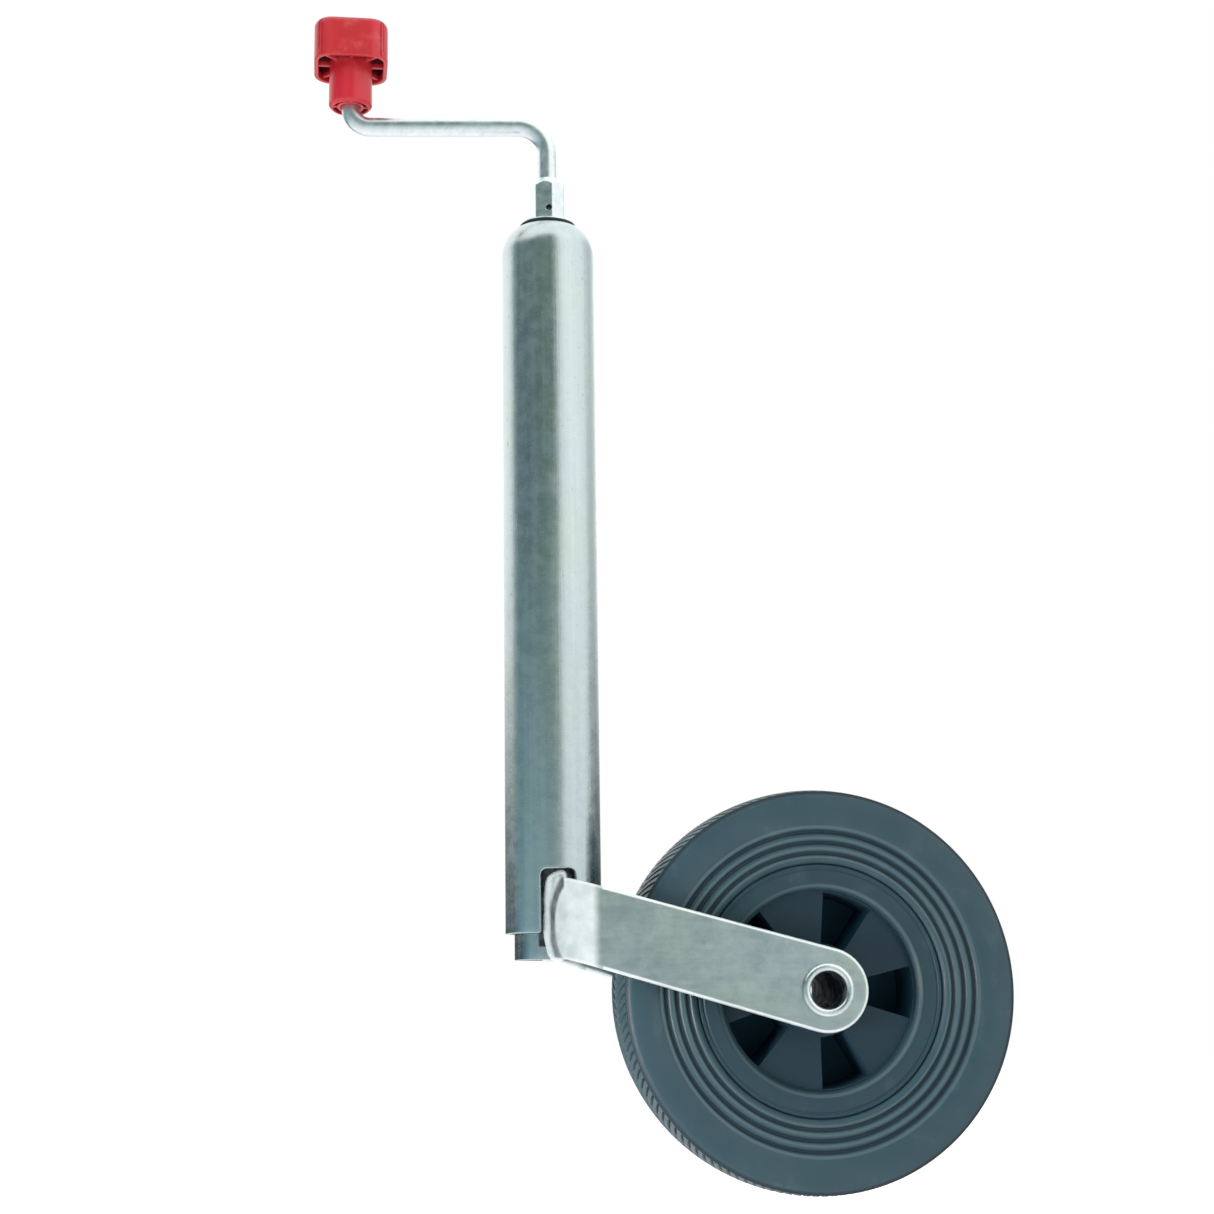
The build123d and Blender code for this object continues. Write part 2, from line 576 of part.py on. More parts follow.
SIDEWALL_GROOVES = (67.3, 72.6, 78.0)
GROOVE_FLOOR = 22.0         # half the tyre's width at a groove's floor and at the ridges beside it
GROOVE_RIDGE = 23.4
GROOVE_HALF = 0.4           # half a groove's width at its floor and at its mouth
MOUTH_HALF = 1.2
BULGE_START = 83.0          # radii of the sidewall's bulge
BULGE = 90.0
BULGE_END = 96.0
BULGE_FALL = 0.5            # how far the bulge's ends lie inside its middle
SHOULDER_HALF = 23.2        # half the tread's width
CROWN_DROP = 1.8
groove_outline = []
for groove in SIDEWALL_GROOVES:
    groove_outline += [
        (GROOVE_RIDGE, groove - MOUTH_HALF),
        (GROOVE_FLOOR, groove - GROOVE_HALF),
        (GROOVE_FLOOR, groove + GROOVE_HALF),
        (GROOVE_RIDGE, groove + MOUTH_HALF),
    ]
with BuildPart() as tyre:
    with BuildSketch(WHEEL_SECTION):
        with BuildLine():
            side = Polyline(
                (0, SEAT_RADIUS),
                (SEAT_HALF, SEAT_RADIUS),
                (FLANGE_ROOT, RIM_RADIUS),
                (FLANGE - EDGE / 2, RIM_RADIUS),
                (FLANGE + EDGE / 2, RIM_RADIUS + EDGE),
                *groove_outline,
                (WHEEL_HALF - BULGE_FALL, BULGE_START),
                (WHEEL_HALF, BULGE),
                (WHEEL_HALF - BULGE_FALL, BULGE_END),
                (SHOULDER_HALF, WHEEL_RADIUS - CROWN_DROP),
            )
            crown_radius = (SHOULDER_HALF**2 + CROWN_DROP**2) / (2 * CROWN_DROP)
            crown_middle = WHEEL_RADIUS - crown_radius + math.sqrt(crown_radius**2 - SHOULDER_HALF**2 / 4)
            crown = ThreePointArc(side @ 1, (SHOULDER_HALF / 2, crown_middle), (0, WHEEL_RADIUS))
            Line(crown @ 1, side @ 0)
        make_face()
    revolve(axis=AXLE_AXIS)
    mirror(about=Plane.XZ)
write(tyre.part, "tyre")
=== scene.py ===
import json
import logging
import math
from dataclasses import dataclass, field
from enum import Enum

import bmesh
import bpy
import numpy as np
from mathutils import Matrix, Vector


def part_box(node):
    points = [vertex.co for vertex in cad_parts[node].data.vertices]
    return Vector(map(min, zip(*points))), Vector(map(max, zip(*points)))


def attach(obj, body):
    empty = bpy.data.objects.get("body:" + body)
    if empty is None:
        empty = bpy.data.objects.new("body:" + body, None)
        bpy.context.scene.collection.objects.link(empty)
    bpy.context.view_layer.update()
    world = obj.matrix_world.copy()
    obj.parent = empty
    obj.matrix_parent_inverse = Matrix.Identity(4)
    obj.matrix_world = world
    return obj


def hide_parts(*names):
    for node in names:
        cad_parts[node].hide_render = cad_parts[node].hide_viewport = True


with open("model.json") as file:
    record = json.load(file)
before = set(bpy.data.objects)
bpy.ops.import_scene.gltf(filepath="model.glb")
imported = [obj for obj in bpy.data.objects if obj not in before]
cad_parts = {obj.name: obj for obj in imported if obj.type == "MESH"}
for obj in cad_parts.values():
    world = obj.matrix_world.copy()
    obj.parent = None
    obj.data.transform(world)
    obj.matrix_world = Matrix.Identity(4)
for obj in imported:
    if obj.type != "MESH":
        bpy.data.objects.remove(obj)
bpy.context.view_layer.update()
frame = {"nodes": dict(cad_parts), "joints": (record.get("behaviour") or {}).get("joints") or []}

# A trailer's jockey wheel: a clamp tube with a crank on top, and a leg with a fork and a solid rubber wheel.
# Shapes are worked out in millimetres in the row's frame and become metres when they are made a mesh.
# "up" is a height above the outer tube's lower rim.

MM = 0.001
MERGE = 2e-6            # metres: points closer than this become one
SLIVER = 1e-7           # metres: edges shorter than this are dissolved
LOG = logging.getLogger("jockey_wheel")


# ---------------------------------------------------------------- places read from the frame


def joint_point(name: str) -> np.ndarray:
    """The point of a named joint, in millimetres.

    Args:
        name: The joint's name.

    Returns:
        Its X, Y and Z.
    """
    found = next(joint for joint in frame["joints"] if joint["name"] == name)
    return np.array(found["pos_m"], float) / MM


def node_box(name: str) -> tuple[np.ndarray, np.ndarray]:
    """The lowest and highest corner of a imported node, in millimetres.

    Args:
        name: The node's name.

    Returns:
        The two corners.
    """
    low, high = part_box(name)
    return np.array(low, float) / MM, np.array(high, float) / MM


TUBE_LOW, TUBE_HIGH = node_box("outer_tube")
AXLE = joint_point("wheel_spin")
GRIP = joint_point("grip_spin")
FLOOR_LEVEL = node_box("tyre")[0][2]


def up(height: float) -> float:
    """Turn a height above the outer tube's lower rim into a Z of the row's frame.

    Args:
        height: The height, in millimetres.

    Returns:
        The Z.
    """
    return float(TUBE_LOW[2]) + height


# ---------------------------------------------------------------- surfaces


@dataclass
class Surface:
    """Points and faces of a shape before it is a mesh.

    points is an array of n by 3, in millimetres, and faces holds arrays of corner numbers, a row to a face.
    """

    points: np.ndarray
    faces: list[np.ndarray]

    @classmethod
    def from_grid(cls, grid: np.ndarray, wrap_rows: bool = False, wrap_columns: bool = False) -> "Surface":
        """Lay quads over a grid of points.

        Args:
            grid: Points as rows by columns by 3.
            wrap_rows: Whether the last row joins the first.
            wrap_columns: Whether the last column joins the first.

        Returns:
            The surface through the grid.
        """
        rows, columns = grid.shape[:2]
        index = np.arange(rows * columns).reshape(rows, columns)
        if wrap_rows:
            index = np.vstack([index, index[:1]])
        if wrap_columns:
            index = np.hstack([index, index[:, :1]])
        quads = np.stack([index[:-1, :-1], index[:-1, 1:], index[1:, 1:], index[1:, :-1]], axis=-1)
        return cls(grid.reshape(-1, 3), [quads.reshape(-1, 4)])

    def __add__(self, other: "Surface") -> "Surface":
        """Both surfaces as one.

        Args:
            other: The surface to add.

        Returns:
            The joined surface.
        """
        shifted = [faces + len(self.points) for faces in other.faces]
        return Surface(np.vstack([self.points, other.points]), self.faces + shifted)

    def mirrored(self, axis: int) -> "Surface":
        """The surface reflected in the plane through the origin across one axis.

        Args:
            axis: The axis's number, 0 to 2.

        Returns:
            The reflected surface.
        """
        sign = np.ones(3)
        sign[axis] = -1
        return Surface(self.points * sign, self.faces)

    def capped(self, ring: np.ndarray) -> "Surface":
        """The surface with a fan of triangles from a ring's middle to its points.

        Args:
            ring: Corner numbers of a closed ring, in order.

        Returns:
            The surface with the fan.
        """
        centre = self.points[ring].mean(axis=0)
        middle = np.full(len(ring), len(self.points))
        fan = np.stack([ring, np.roll(ring, -1), middle], axis=-1)
        return Surface(np.vstack([self.points, centre]), self.faces + [fan])


@dataclass(frozen=True)
class Shaft:
    """An axis with two directions across it, for shapes that are turned round it.

    Attributes:
        origin: A point on the axis.
        along: Its direction.
        across: The direction of angle 0.
    """

    origin: np.ndarray
    along: np.ndarray
    across: np.ndarray

    def points(self, along: np.ndarray, radius: np.ndarray, angle: np.ndarray) -> np.ndarray:
        """Points from cylinder coordinates: origin, plus a way along, plus a radius turned through an angle.

        Args:
            along: Distances along the axis.
            radius: Distances from the axis.
            angle: Angles from the first direction across, in radians.

        Returns:
            The points, with one more axis of 3 than the inputs have when broadcast.
        """
        along, radius, angle = np.broadcast_arrays(along, radius, angle)
        third = np.cross(self.along, self.across)
        out = along[..., None] * self.along + (radius * np.cos(angle))[..., None] * self.across
        return self.origin + out + (radius * np.sin(angle))[..., None] * third

    def turned(self, profile: np.ndarray, angles: np.ndarray, closed: bool = True) -> Surface:
        """Turn a profile of (along, radius) points round the axis.

        Args:
            profile: The profile's points, n by 2.
            angles: The angles round the axis, without the first one repeated.
            closed: Whether the profile is a closed loop.

        Returns:
            The surface of revolution.
        """
        grid = self.points(profile[:, :1], profile[:, 1:], angles[None, :])
        return Surface.from_grid(grid, wrap_rows=closed, wrap_columns=True)


UPRIGHT = Shaft(np.zeros(3), np.array([0.0, 0.0, 1.0]), np.array([1.0, 0.0, 0.0]))
# along is positive towards the wheel's outer side, at -Y, and angles run from +X towards +Z
WHEEL_SHAFT = Shaft(AXLE, np.array([0.0, -1.0, 0.0]), np.array([1.0, 0.0, 0.0]))


def circle_angles(count: int, start: float = 0.0) -> np.ndarray:
    """Evenly spaced angles round a circle, from start, without the last one.

    Args:
        count: How many.
        start: The first one, in radians.

    Returns:
        The angles, in radians.
    """
    return start + np.linspace(0, 2 * math.pi, count, endpoint=False)


def arc(centre: tuple[float, float], radius: float, start: float, end: float, count: int) -> np.ndarray:
    """Points of an arc: centre plus radius at evenly spaced angles, in degrees.

    Args:
        centre: The arc's centre.
        radius: Its radius.
        start: Its first angle.
        end: Its last angle.
        count: How many points.

    Returns:
        The points, count by 2.
    """
    turn = np.radians(np.linspace(start, end, count))
    return np.array(centre) + radius * np.stack([np.cos(turn), np.sin(turn)], axis=-1)


def rounded(
    corners: np.ndarray, cut: float | np.ndarray, steps: int = 5, closed: bool = True
) -> np.ndarray:
    """Round a polyline's corners.

    Each corner gives way to a parabola: (1-t)^2 times a point before it, plus 2t(1-t) times the corner,
    plus t^2 times a point after it, both a cut's length away or 0.45 of the side, whichever is less.

    Args:
        corners: The polyline's points, n by 2 or n by 3.
        cut: The cut's length, one for all corners or one for each.
        steps: Points on each rounded corner.
        closed: Whether the polyline is a closed loop. The ends of an open one stay sharp.

    Returns:
        The rounded line's points.
    """
    corners = np.asarray(corners, float)
    cuts = np.broadcast_to(np.asarray(cut, float), (len(corners),)).copy()
    if not closed:
        cuts[[0, -1]] = 0
    before = np.roll(corners, 1, axis=0) - corners
    after = np.roll(corners, -1, axis=0) - corners
    before_length = np.linalg.norm(before, axis=1)
    after_length = np.linalg.norm(after, axis=1)
    reach = np.minimum(cuts, 0.45 * np.minimum(before_length, after_length))
    start = corners + before * (reach / before_length)[:, None]
    end = corners + after * (reach / after_length)[:, None]
    t = np.linspace(0, 1, steps)[None, :, None]
    bend = (1 - t) ** 2 * start[:, None] + 2 * t * (1 - t) * corners[:, None] + t**2 * end[:, None]
    return bend.reshape(-1, corners.shape[1])


def ease(value: np.ndarray) -> np.ndarray:
    """Smooth step: 0 below 0, 1 above 1, and 3t^2 - 2t^3 between.

    Args:
        value: The places to ease.

    Returns:
        Their levels, from 0 to 1.
    """
    t = np.clip(value, 0, 1)
    return t * t * (3 - 2 * t)


def rounded_sheet(
    edge: np.ndarray,
    target: np.ndarray,
    half: float,
    rounding: float,
    levels: int,
    rows: int,
    first_inward: tuple[float, float] | None = None,
) -> np.ndarray:
    """A flat sheet between its edge and an inner line, with the edge rounded on both faces.

    At a distance d inside the edge, up to the rounding r, the face stands at half - r + sqrt(r^2 - (r-d)^2)
    from the sheet's middle, and further in it stands at half. Rows run from the inner line on the upper face,
    round the edge, to the inner line on the lower face.

    Args:
        edge: The edge's points, n by 2.
        target: The inner line's points, n by 2, one for each point of the edge.
        half: Half the sheet's thickness.
        rounding: Radius of the edge's rounding.
        levels: Rows over the rounding.
        rows: Rows from there to the inner line.
        first_inward: The way into the sheet at the first point, where the edge's points don't give it.

    Returns:
        A grid of (first, second, offset) points.
    """
    tangent = np.gradient(edge, axis=0)
    inward = np.stack([-tangent[:, 1], tangent[:, 0]], axis=-1)
    inward /= np.linalg.norm(inward, axis=1)[:, None]
    inward *= np.sign((inward * (target - edge)).sum(axis=1).mean())
    if first_inward is not None:
        inward[0] = first_inward
    turn = np.linspace(0, math.pi / 2, levels)
    depth = rounding * (1 - np.cos(turn))
    offset = half - rounding + rounding * np.sin(turn)
    near = edge[None] + inward[None] * depth[:, None, None]
    share = np.linspace(0, 1, rows + 1)[1:, None, None]
    far = near[-1][None] + (target - near[-1])[None] * share
    flat = np.concatenate([near, far])
    offsets = np.concatenate([offset, np.full(rows, half)])[:, None, None]
    offsets = np.broadcast_to(offsets, flat.shape[:2] + (1,))
    upper = np.concatenate([flat, offsets], axis=-1)
    lower = np.concatenate([flat, -offsets], axis=-1)
    return np.concatenate([upper[::-1], lower])


def swept(
    section: np.ndarray, path: np.ndarray, first: np.ndarray, second: np.ndarray, loop: bool = False
) -> Surface:
    """Carry a section along a path: each point is path + a * first + b * second.

    Args:
        section: The section's (a, b) points, n by 2, or one such section for each point of the path.
        path: The path's points, m by 3.
        first: Directions of a at each point of the path, m by 3.
        second: Directions of b at each point of the path, m by 3.
        loop: Whether the path is a closed loop. An open one gets a cap at each end.

    Returns:
        The swept surface.
    """
    section = np.broadcast_to(section, (len(path),) + section.shape[-2:])
    grid = path[:, None] + section[..., :1] * first[:, None] + section[..., 1:] * second[:, None]
    surface = Surface.from_grid(grid, wrap_rows=loop, wrap_columns=True)
    if loop:
        return surface
    count = section.shape[1]
    ring = np.arange(count)
    return surface.capped(ring).capped(ring + (len(path) - 1) * count)


def make_piece(
    name: str, surface: Surface, body: str, nodes: tuple[str, ...], sharp: float = 34.0
) -> bpy.types.Object:
    """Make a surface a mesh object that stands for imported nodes.

    Points closer than MERGE are merged, the faces are turned outwards, and edges that bend by more than
    sharp degrees stay sharp.

    Args:
        name: The piece's name.
        surface: Its surface, in millimetres.
        body: The body that it rides on.
        nodes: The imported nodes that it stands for.
        sharp: The angle of sharp edges, in degrees.

    Returns:
        The object.
    """
    mesh = bpy.data.meshes.new(name)
    corners = np.concatenate([faces.ravel() for faces in surface.faces])
    sizes = np.concatenate([np.full(len(faces), faces.shape[1]) for faces in surface.faces])
    mesh.vertices.add(len(surface.points))
    mesh.vertices.foreach_set("co", (surface.points * MM).astype(np.float32).ravel())
    mesh.loops.add(len(corners))
    mesh.loops.foreach_set("vertex_index", corners.astype(np.int32))
    mesh.polygons.add(len(sizes))
    mesh.polygons.foreach_set("loop_start", (np.cumsum(sizes) - sizes).astype(np.int32))
    mesh.update(calc_edges=True)
    shape = bmesh.new()
    shape.from_mesh(mesh)
    bmesh.ops.remove_doubles(shape, verts=shape.verts, dist=MERGE)
    bmesh.ops.dissolve_degenerate(shape, edges=shape.edges, dist=SLIVER)
    bmesh.ops.recalc_face_normals(shape, faces=shape.faces)
    shape.to_mesh(mesh)
    shape.free()
    mesh.polygons.foreach_set("use_smooth", np.ones(len(mesh.polygons), bool))
    mesh.set_sharp_from_angle(angle=math.radians(sharp))
    piece = bpy.data.objects.new(name, mesh)
    bpy.context.scene.collection.objects.link(piece)
    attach(piece, body)
    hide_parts(*nodes)
    LOG.info("%s: %d faces on body %s", name, len(mesh.polygons), body)
    return piece


# ---------------------------------------------------------------- shader expressions


class Term:
    """A socket in an expression: arithmetic on it adds Math nodes."""

    def __init__(self, graph: "Graph", socket: bpy.types.NodeSocket) -> None:
        """Wrap one socket of a graph.

        Args:
            graph: The graph that the socket is in.
            socket: The socket.
        """
        self.graph = graph
        self.socket = socket

    def math(self, operation: str, *others: "Term | float") -> "Term":
        """A Math node with this socket first.

        Args:
            operation: What the node does.
            others: Its other values.

        Returns:
            The result.
        """
        return self.graph.math(operation, self, *others)

    def __add__(self, other: "Term | float") -> "Term":
        """This plus other.

        Args:
            other: The other value.

        Returns:
            The result.
        """
        return self.math("ADD", other)

    def __radd__(self, other: float) -> "Term":
        """Other plus this.

        Args:
            other: The other value.

        Returns:
            The result.
        """
        return self.math("ADD", other)

    def __sub__(self, other: "Term | float") -> "Term":
        """This minus other.

        Args:
            other: The other value.

        Returns:
            The result.
        """
        return self.math("SUBTRACT", other)

    def __rsub__(self, other: float) -> "Term":
        """Other minus this.

        Args:
            other: The other value.

        Returns:
            The result.
        """
        return self.graph.math("SUBTRACT", other, self)

    def __mul__(self, other: "Term | float") -> "Term":
        """This times other.

        Args:
            other: The other value.

        Returns:
            The result.
        """
        return self.math("MULTIPLY", other)

    def __rmul__(self, other: float) -> "Term":
        """Other times this.

        Args:
            other: The other value.

        Returns:
            The result.
        """
        return self.math("MULTIPLY", other)

    def __truediv__(self, other: "Term | float") -> "Term":
        """This over other.

        Args:
            other: The other value.

        Returns:
            The result.
        """
        return self.math("DIVIDE", other)

    def __pow__(self, other: float) -> "Term":
        """This to a power.

        Args:
            other: The other value.

        Returns:
            The result.
        """
        return self.math("POWER", other)

    def __abs__(self) -> "Term":
        """This without its sign.

        Returns:
            The result.
        """
        return self.math("ABSOLUTE")

    def between(self, low: float, high: float) -> "Term":
        """Smooth step from 0 at low to 1 at high. High may be the smaller.

        Args:
            low: Where the step starts.
            high: Where it ends.

        Returns:
            The step's level.
        """
        settings = {"interpolation_type": "SMOOTHSTEP"}
        inputs = {"Value": self, "From Min": low, "From Max": high}
        return self.graph.term("ShaderNodeMapRange", settings, inputs, "Result")


class Graph:
    """A node tree under construction."""

    def __init__(self, tree: bpy.types.NodeTree) -> None:
        """Start from an empty tree.

        Args:
            tree: The node tree to fill.
        """
        self.tree = tree
        tree.nodes.clear()

    def node(self, kind: str, settings: dict | None = None, inputs: dict | None = None) -> bpy.types.Node:
        """Add a node.

        Args:
            kind: The node's type.
            settings: Its properties, set first. "ramp" holds a colour ramp's (place, colour) stops.
            inputs: Values or links of its sockets, by name or number.

        Returns:
            The node.
        """
        made = self.tree.nodes.new(kind)
        for key, value in (settings or {}).items():
            if key == "ramp":
                self._set_ramp(made.color_ramp, value)
            else:
                setattr(made, key, value)
        for key, value in (inputs or {}).items():
            self._feed(made.inputs[key], value)
        return made

    @staticmethod
    def _set_ramp(ramp: bpy.types.ColorRamp, stops: list) -> None:
        """Give a colour ramp its stops.

        Args:
            ramp: The ramp.
            stops: Its (place, colour) stops.
        """
        while len(ramp.elements) < len(stops):
            ramp.elements.new(0.5)
        for element, (place, colour) in zip(ramp.elements, stops):
            element.position = place
            element.color = (*colour, 1.0)

    def _feed(self, socket: bpy.types.NodeSocket, value: object) -> None:
        """Link or set one socket.

        Args:
            socket: The socket.
            value: A link's source, or a plain value.
        """
        if isinstance(value, Term):
            self.tree.links.new(value.socket, socket)
        elif isinstance(value, bpy.types.NodeSocket):
            self.tree.links.new(value, socket)
        elif socket.type == "RGBA" and len(value) == 3:
            socket.default_value = (*value, 1.0)
        else:
            socket.default_value = value

    def term(self, kind: str, settings: dict | None, inputs: dict | None, output: str | int = 0) -> Term:
        """Add a node and wrap one of its outputs.

        Args:
            kind: The node's type.
            settings: Its properties.
            inputs: Its sockets' values.
            output: The output's name or number.

        Returns:
            The wrapped output.
        """
        return Term(self, self.node(kind, settings, inputs).outputs[output])

    def math(self, operation: str, *values: "Term | float") -> Term:
        """Add a Math node.

        Args:
            operation: What the node does.
            values: Its values.

        Returns:
            The wrapped result.
        """
        return self.term("ShaderNodeMath", {"operation": operation}, dict(enumerate(values)))

    def blend(
        self, share: "Term | float", one: object, other: object, how: str = "MIX"
    ) -> bpy.types.NodeSocket:
        """Mix two colours: one where share is 0, and other where it is 1.

        Args:
            share: How much of the other colour shows.
            one: The first colour.
            other: The other colour.
            how: The blend type.

        Returns:
            The mixed colour.
        """
        settings = {"data_type": "RGBA", "blend_type": how}
        return self.node("ShaderNodeMix", settings, {0: share, 6: one, 7: other}).outputs[2]

    def places(
        self, scale: tuple[float, float, float] = (1, 1, 1), shift: tuple[float, float, float] = (0, 0, 0)
    ) -> bpy.types.NodeSocket:
        """Object coordinates, moved by shift and stretched by scale.

        Args:
            scale: How far each axis is stretched.
            shift: How far each one is moved.

        Returns:
            The coordinates.
        """
        coordinates = self.node("ShaderNodeTexCoord").outputs["Object"]
        inputs = {"Vector": coordinates, "Location": shift, "Scale": scale}
        return self.node("ShaderNodeMapping", None, inputs).outputs[0]

    def axes(self, vector: bpy.types.NodeSocket) -> tuple[Term, Term, Term]:
        """A vector's three numbers.

        Args:
            vector: The vector.

        Returns:
            Its X, Y and Z.
        """
        parts = self.node("ShaderNodeSeparateXYZ", None, {0: vector}).outputs
        return Term(self, parts[0]), Term(self, parts[1]), Term(self, parts[2])

    def noise(
        self, vector: bpy.types.NodeSocket, scale: float, detail: float = 3.0, rough: float = 0.55
    ) -> Term:
        """Fractal noise, around one half.

        Args:
            vector: Where it is read.
            scale: How fine it is.
            detail: How many octaves it has.
            rough: How strong the finer ones are.

        Returns:
            The noise.
        """
        inputs = {"Vector": vector, "Scale": scale, "Detail": detail, "Roughness": rough}
        return self.term("ShaderNodeTexNoise", None, inputs)

    def cells(self, vector: bpy.types.NodeSocket, scale: float) -> Term:
        """A random level for each cell of a crystal-like pattern.

        Args:
            vector: Where it is read.
            scale: How small the cells are.

        Returns:
            The level.
        """
        made = self.node("ShaderNodeTexVoronoi", None, {"Vector": vector, "Scale": scale})
        return self.term("ShaderNodeSeparateColor", None, {0: made.outputs["Color"]})

    def bump(
        self, height: Term, depth: float, strength: float = 1.0, after: object = None
    ) -> bpy.types.NodeSocket:
        """A bump's normal. depth is in metres.

        Args:
            height: The height.
            depth: How far a height of 1 stands out.
            strength: The bump's strength.
            after: A normal that it is laid over.

        Returns:
            The normal.
        """
        inputs = {"Height": height, "Distance": depth, "Strength": strength}
        if after is not None:
            inputs["Normal"] = after
        return self.node("ShaderNodeBump", None, inputs).outputs[0]


@dataclass(frozen=True)
class BoxZone:
    """The points between two corners, in millimetres, with soft limits.

    Attributes:
        low: The lowest corner.
        high: The highest corner.
        soft: How far it fades outside them.
    """

    low: tuple[float, float, float]
    high: tuple[float, float, float]
    soft: float = 1.0

    def mask(self, graph: Graph) -> Term:
        """The product of a smooth step into each of the six sides.

        Args:
            graph: The graph to add to.

        Returns:
            The mask, 1 inside the zone.
        """
        share = None
        for value, low, high in zip(graph.axes(graph.places()), self.low, self.high):
            value = value / MM
            inside = value.between(low - self.soft, low) * value.between(high + self.soft, high)
            share = inside if share is None else share * inside
        return share


@dataclass(frozen=True)
class RoundZone:
    """The points within a radius of a line along the Y or Z axis, up to a place on it, in millimetres.

    Attributes:
        centre: Where the line crosses the plane at right angles to it.
        upright: Whether it runs along Z.
        radius: The radius.
        soft: How far it fades outside that.
        end: The place where it ends.
        start: The place where it starts.
    """

    centre: tuple[float, float]
    upright: bool
    radius: float
    soft: float = 0.2
    end: float = 1000.0
    start: float = -1000.0

    def mask(self, graph: Graph) -> Term:
        """A smooth step of the distance sqrt(a^2 + b^2) from the line, times one at each end along it.

        Args:
            graph: The graph to add to.

        Returns:
            The mask, 1 inside the zone.
        """
        x, y, z = graph.axes(graph.places())
        second, along = (y, z) if self.upright else (z, y)
        first, second = x / MM - self.centre[0], second / MM - self.centre[1]
        distance = (first * first + second * second) ** 0.5
        along = (along / MM).math("ABSOLUTE") if not self.upright else along / MM
        within = along.between(self.end + 0.5, self.end) * along.between(self.start - 0.5, self.start)
        return distance.between(self.radius + self.soft, self.radius) * within


@dataclass(frozen=True)
class RingZone:
    """Thin ellipses in the XZ plane, in millimetres: rings on the wheel's sides, or the crease along a weld.

    Attributes:
        centre: X and Z of their middle.
        radii: Their half widths along X.
        half: Half the line's width.
        soft: How far it fades.
        tall: Their height over their width.
        left: The X that the line ends at, on its right.
    """

    centre: tuple[float, float]
    radii: tuple[float, ...]
    half: float
    soft: float = 0.4
    tall: float = 1.0
    left: float = 1000.0

    def mask(self, graph: Graph) -> Term:
        """The sum of a smooth step of each distance abs(sqrt(x^2 + (z / tall)^2) - radius).

        Args:
            graph: The graph to add to.

        Returns:
            The mask, 1 inside the zone.
        """
        x, _, z = graph.axes(graph.places())
        across, height = x / MM - self.centre[0], (z / MM - self.centre[1]) / self.tall
        distance = (across * across + height * height) ** 0.5
        share = None
        for radius in self.radii:
            line = abs(distance - radius).between(self.half + self.soft, self.half)
            share = line if share is None else share + line
        return share * (x / MM).between(self.left + 1.0, self.left)


@dataclass(frozen=True)
class Patch:
    """A place on a metal or moulding whose colour is painted differently: painted shade in a crease or
    hollow, or a painted highlight.

    Attributes:
        zone: Where it is.
        colour: Its colour.
        metallic: How metallic it is.
        roughness: Its roughness.
        cover: How much of the metal it hides, from 0 to 1.
    """

    zone: BoxZone | RoundZone | RingZone
    colour: tuple[float, float, float]
    metallic: float = 0.0
    roughness: float = 0.6
    cover: float = 1.0


class Feature(Enum):
    """What a metal's pattern follows."""

    DRAWN = "along the tube"
    ROLLED = "along the bar"
    PLAIN = "no direction"
    WELDED = "weld beads"


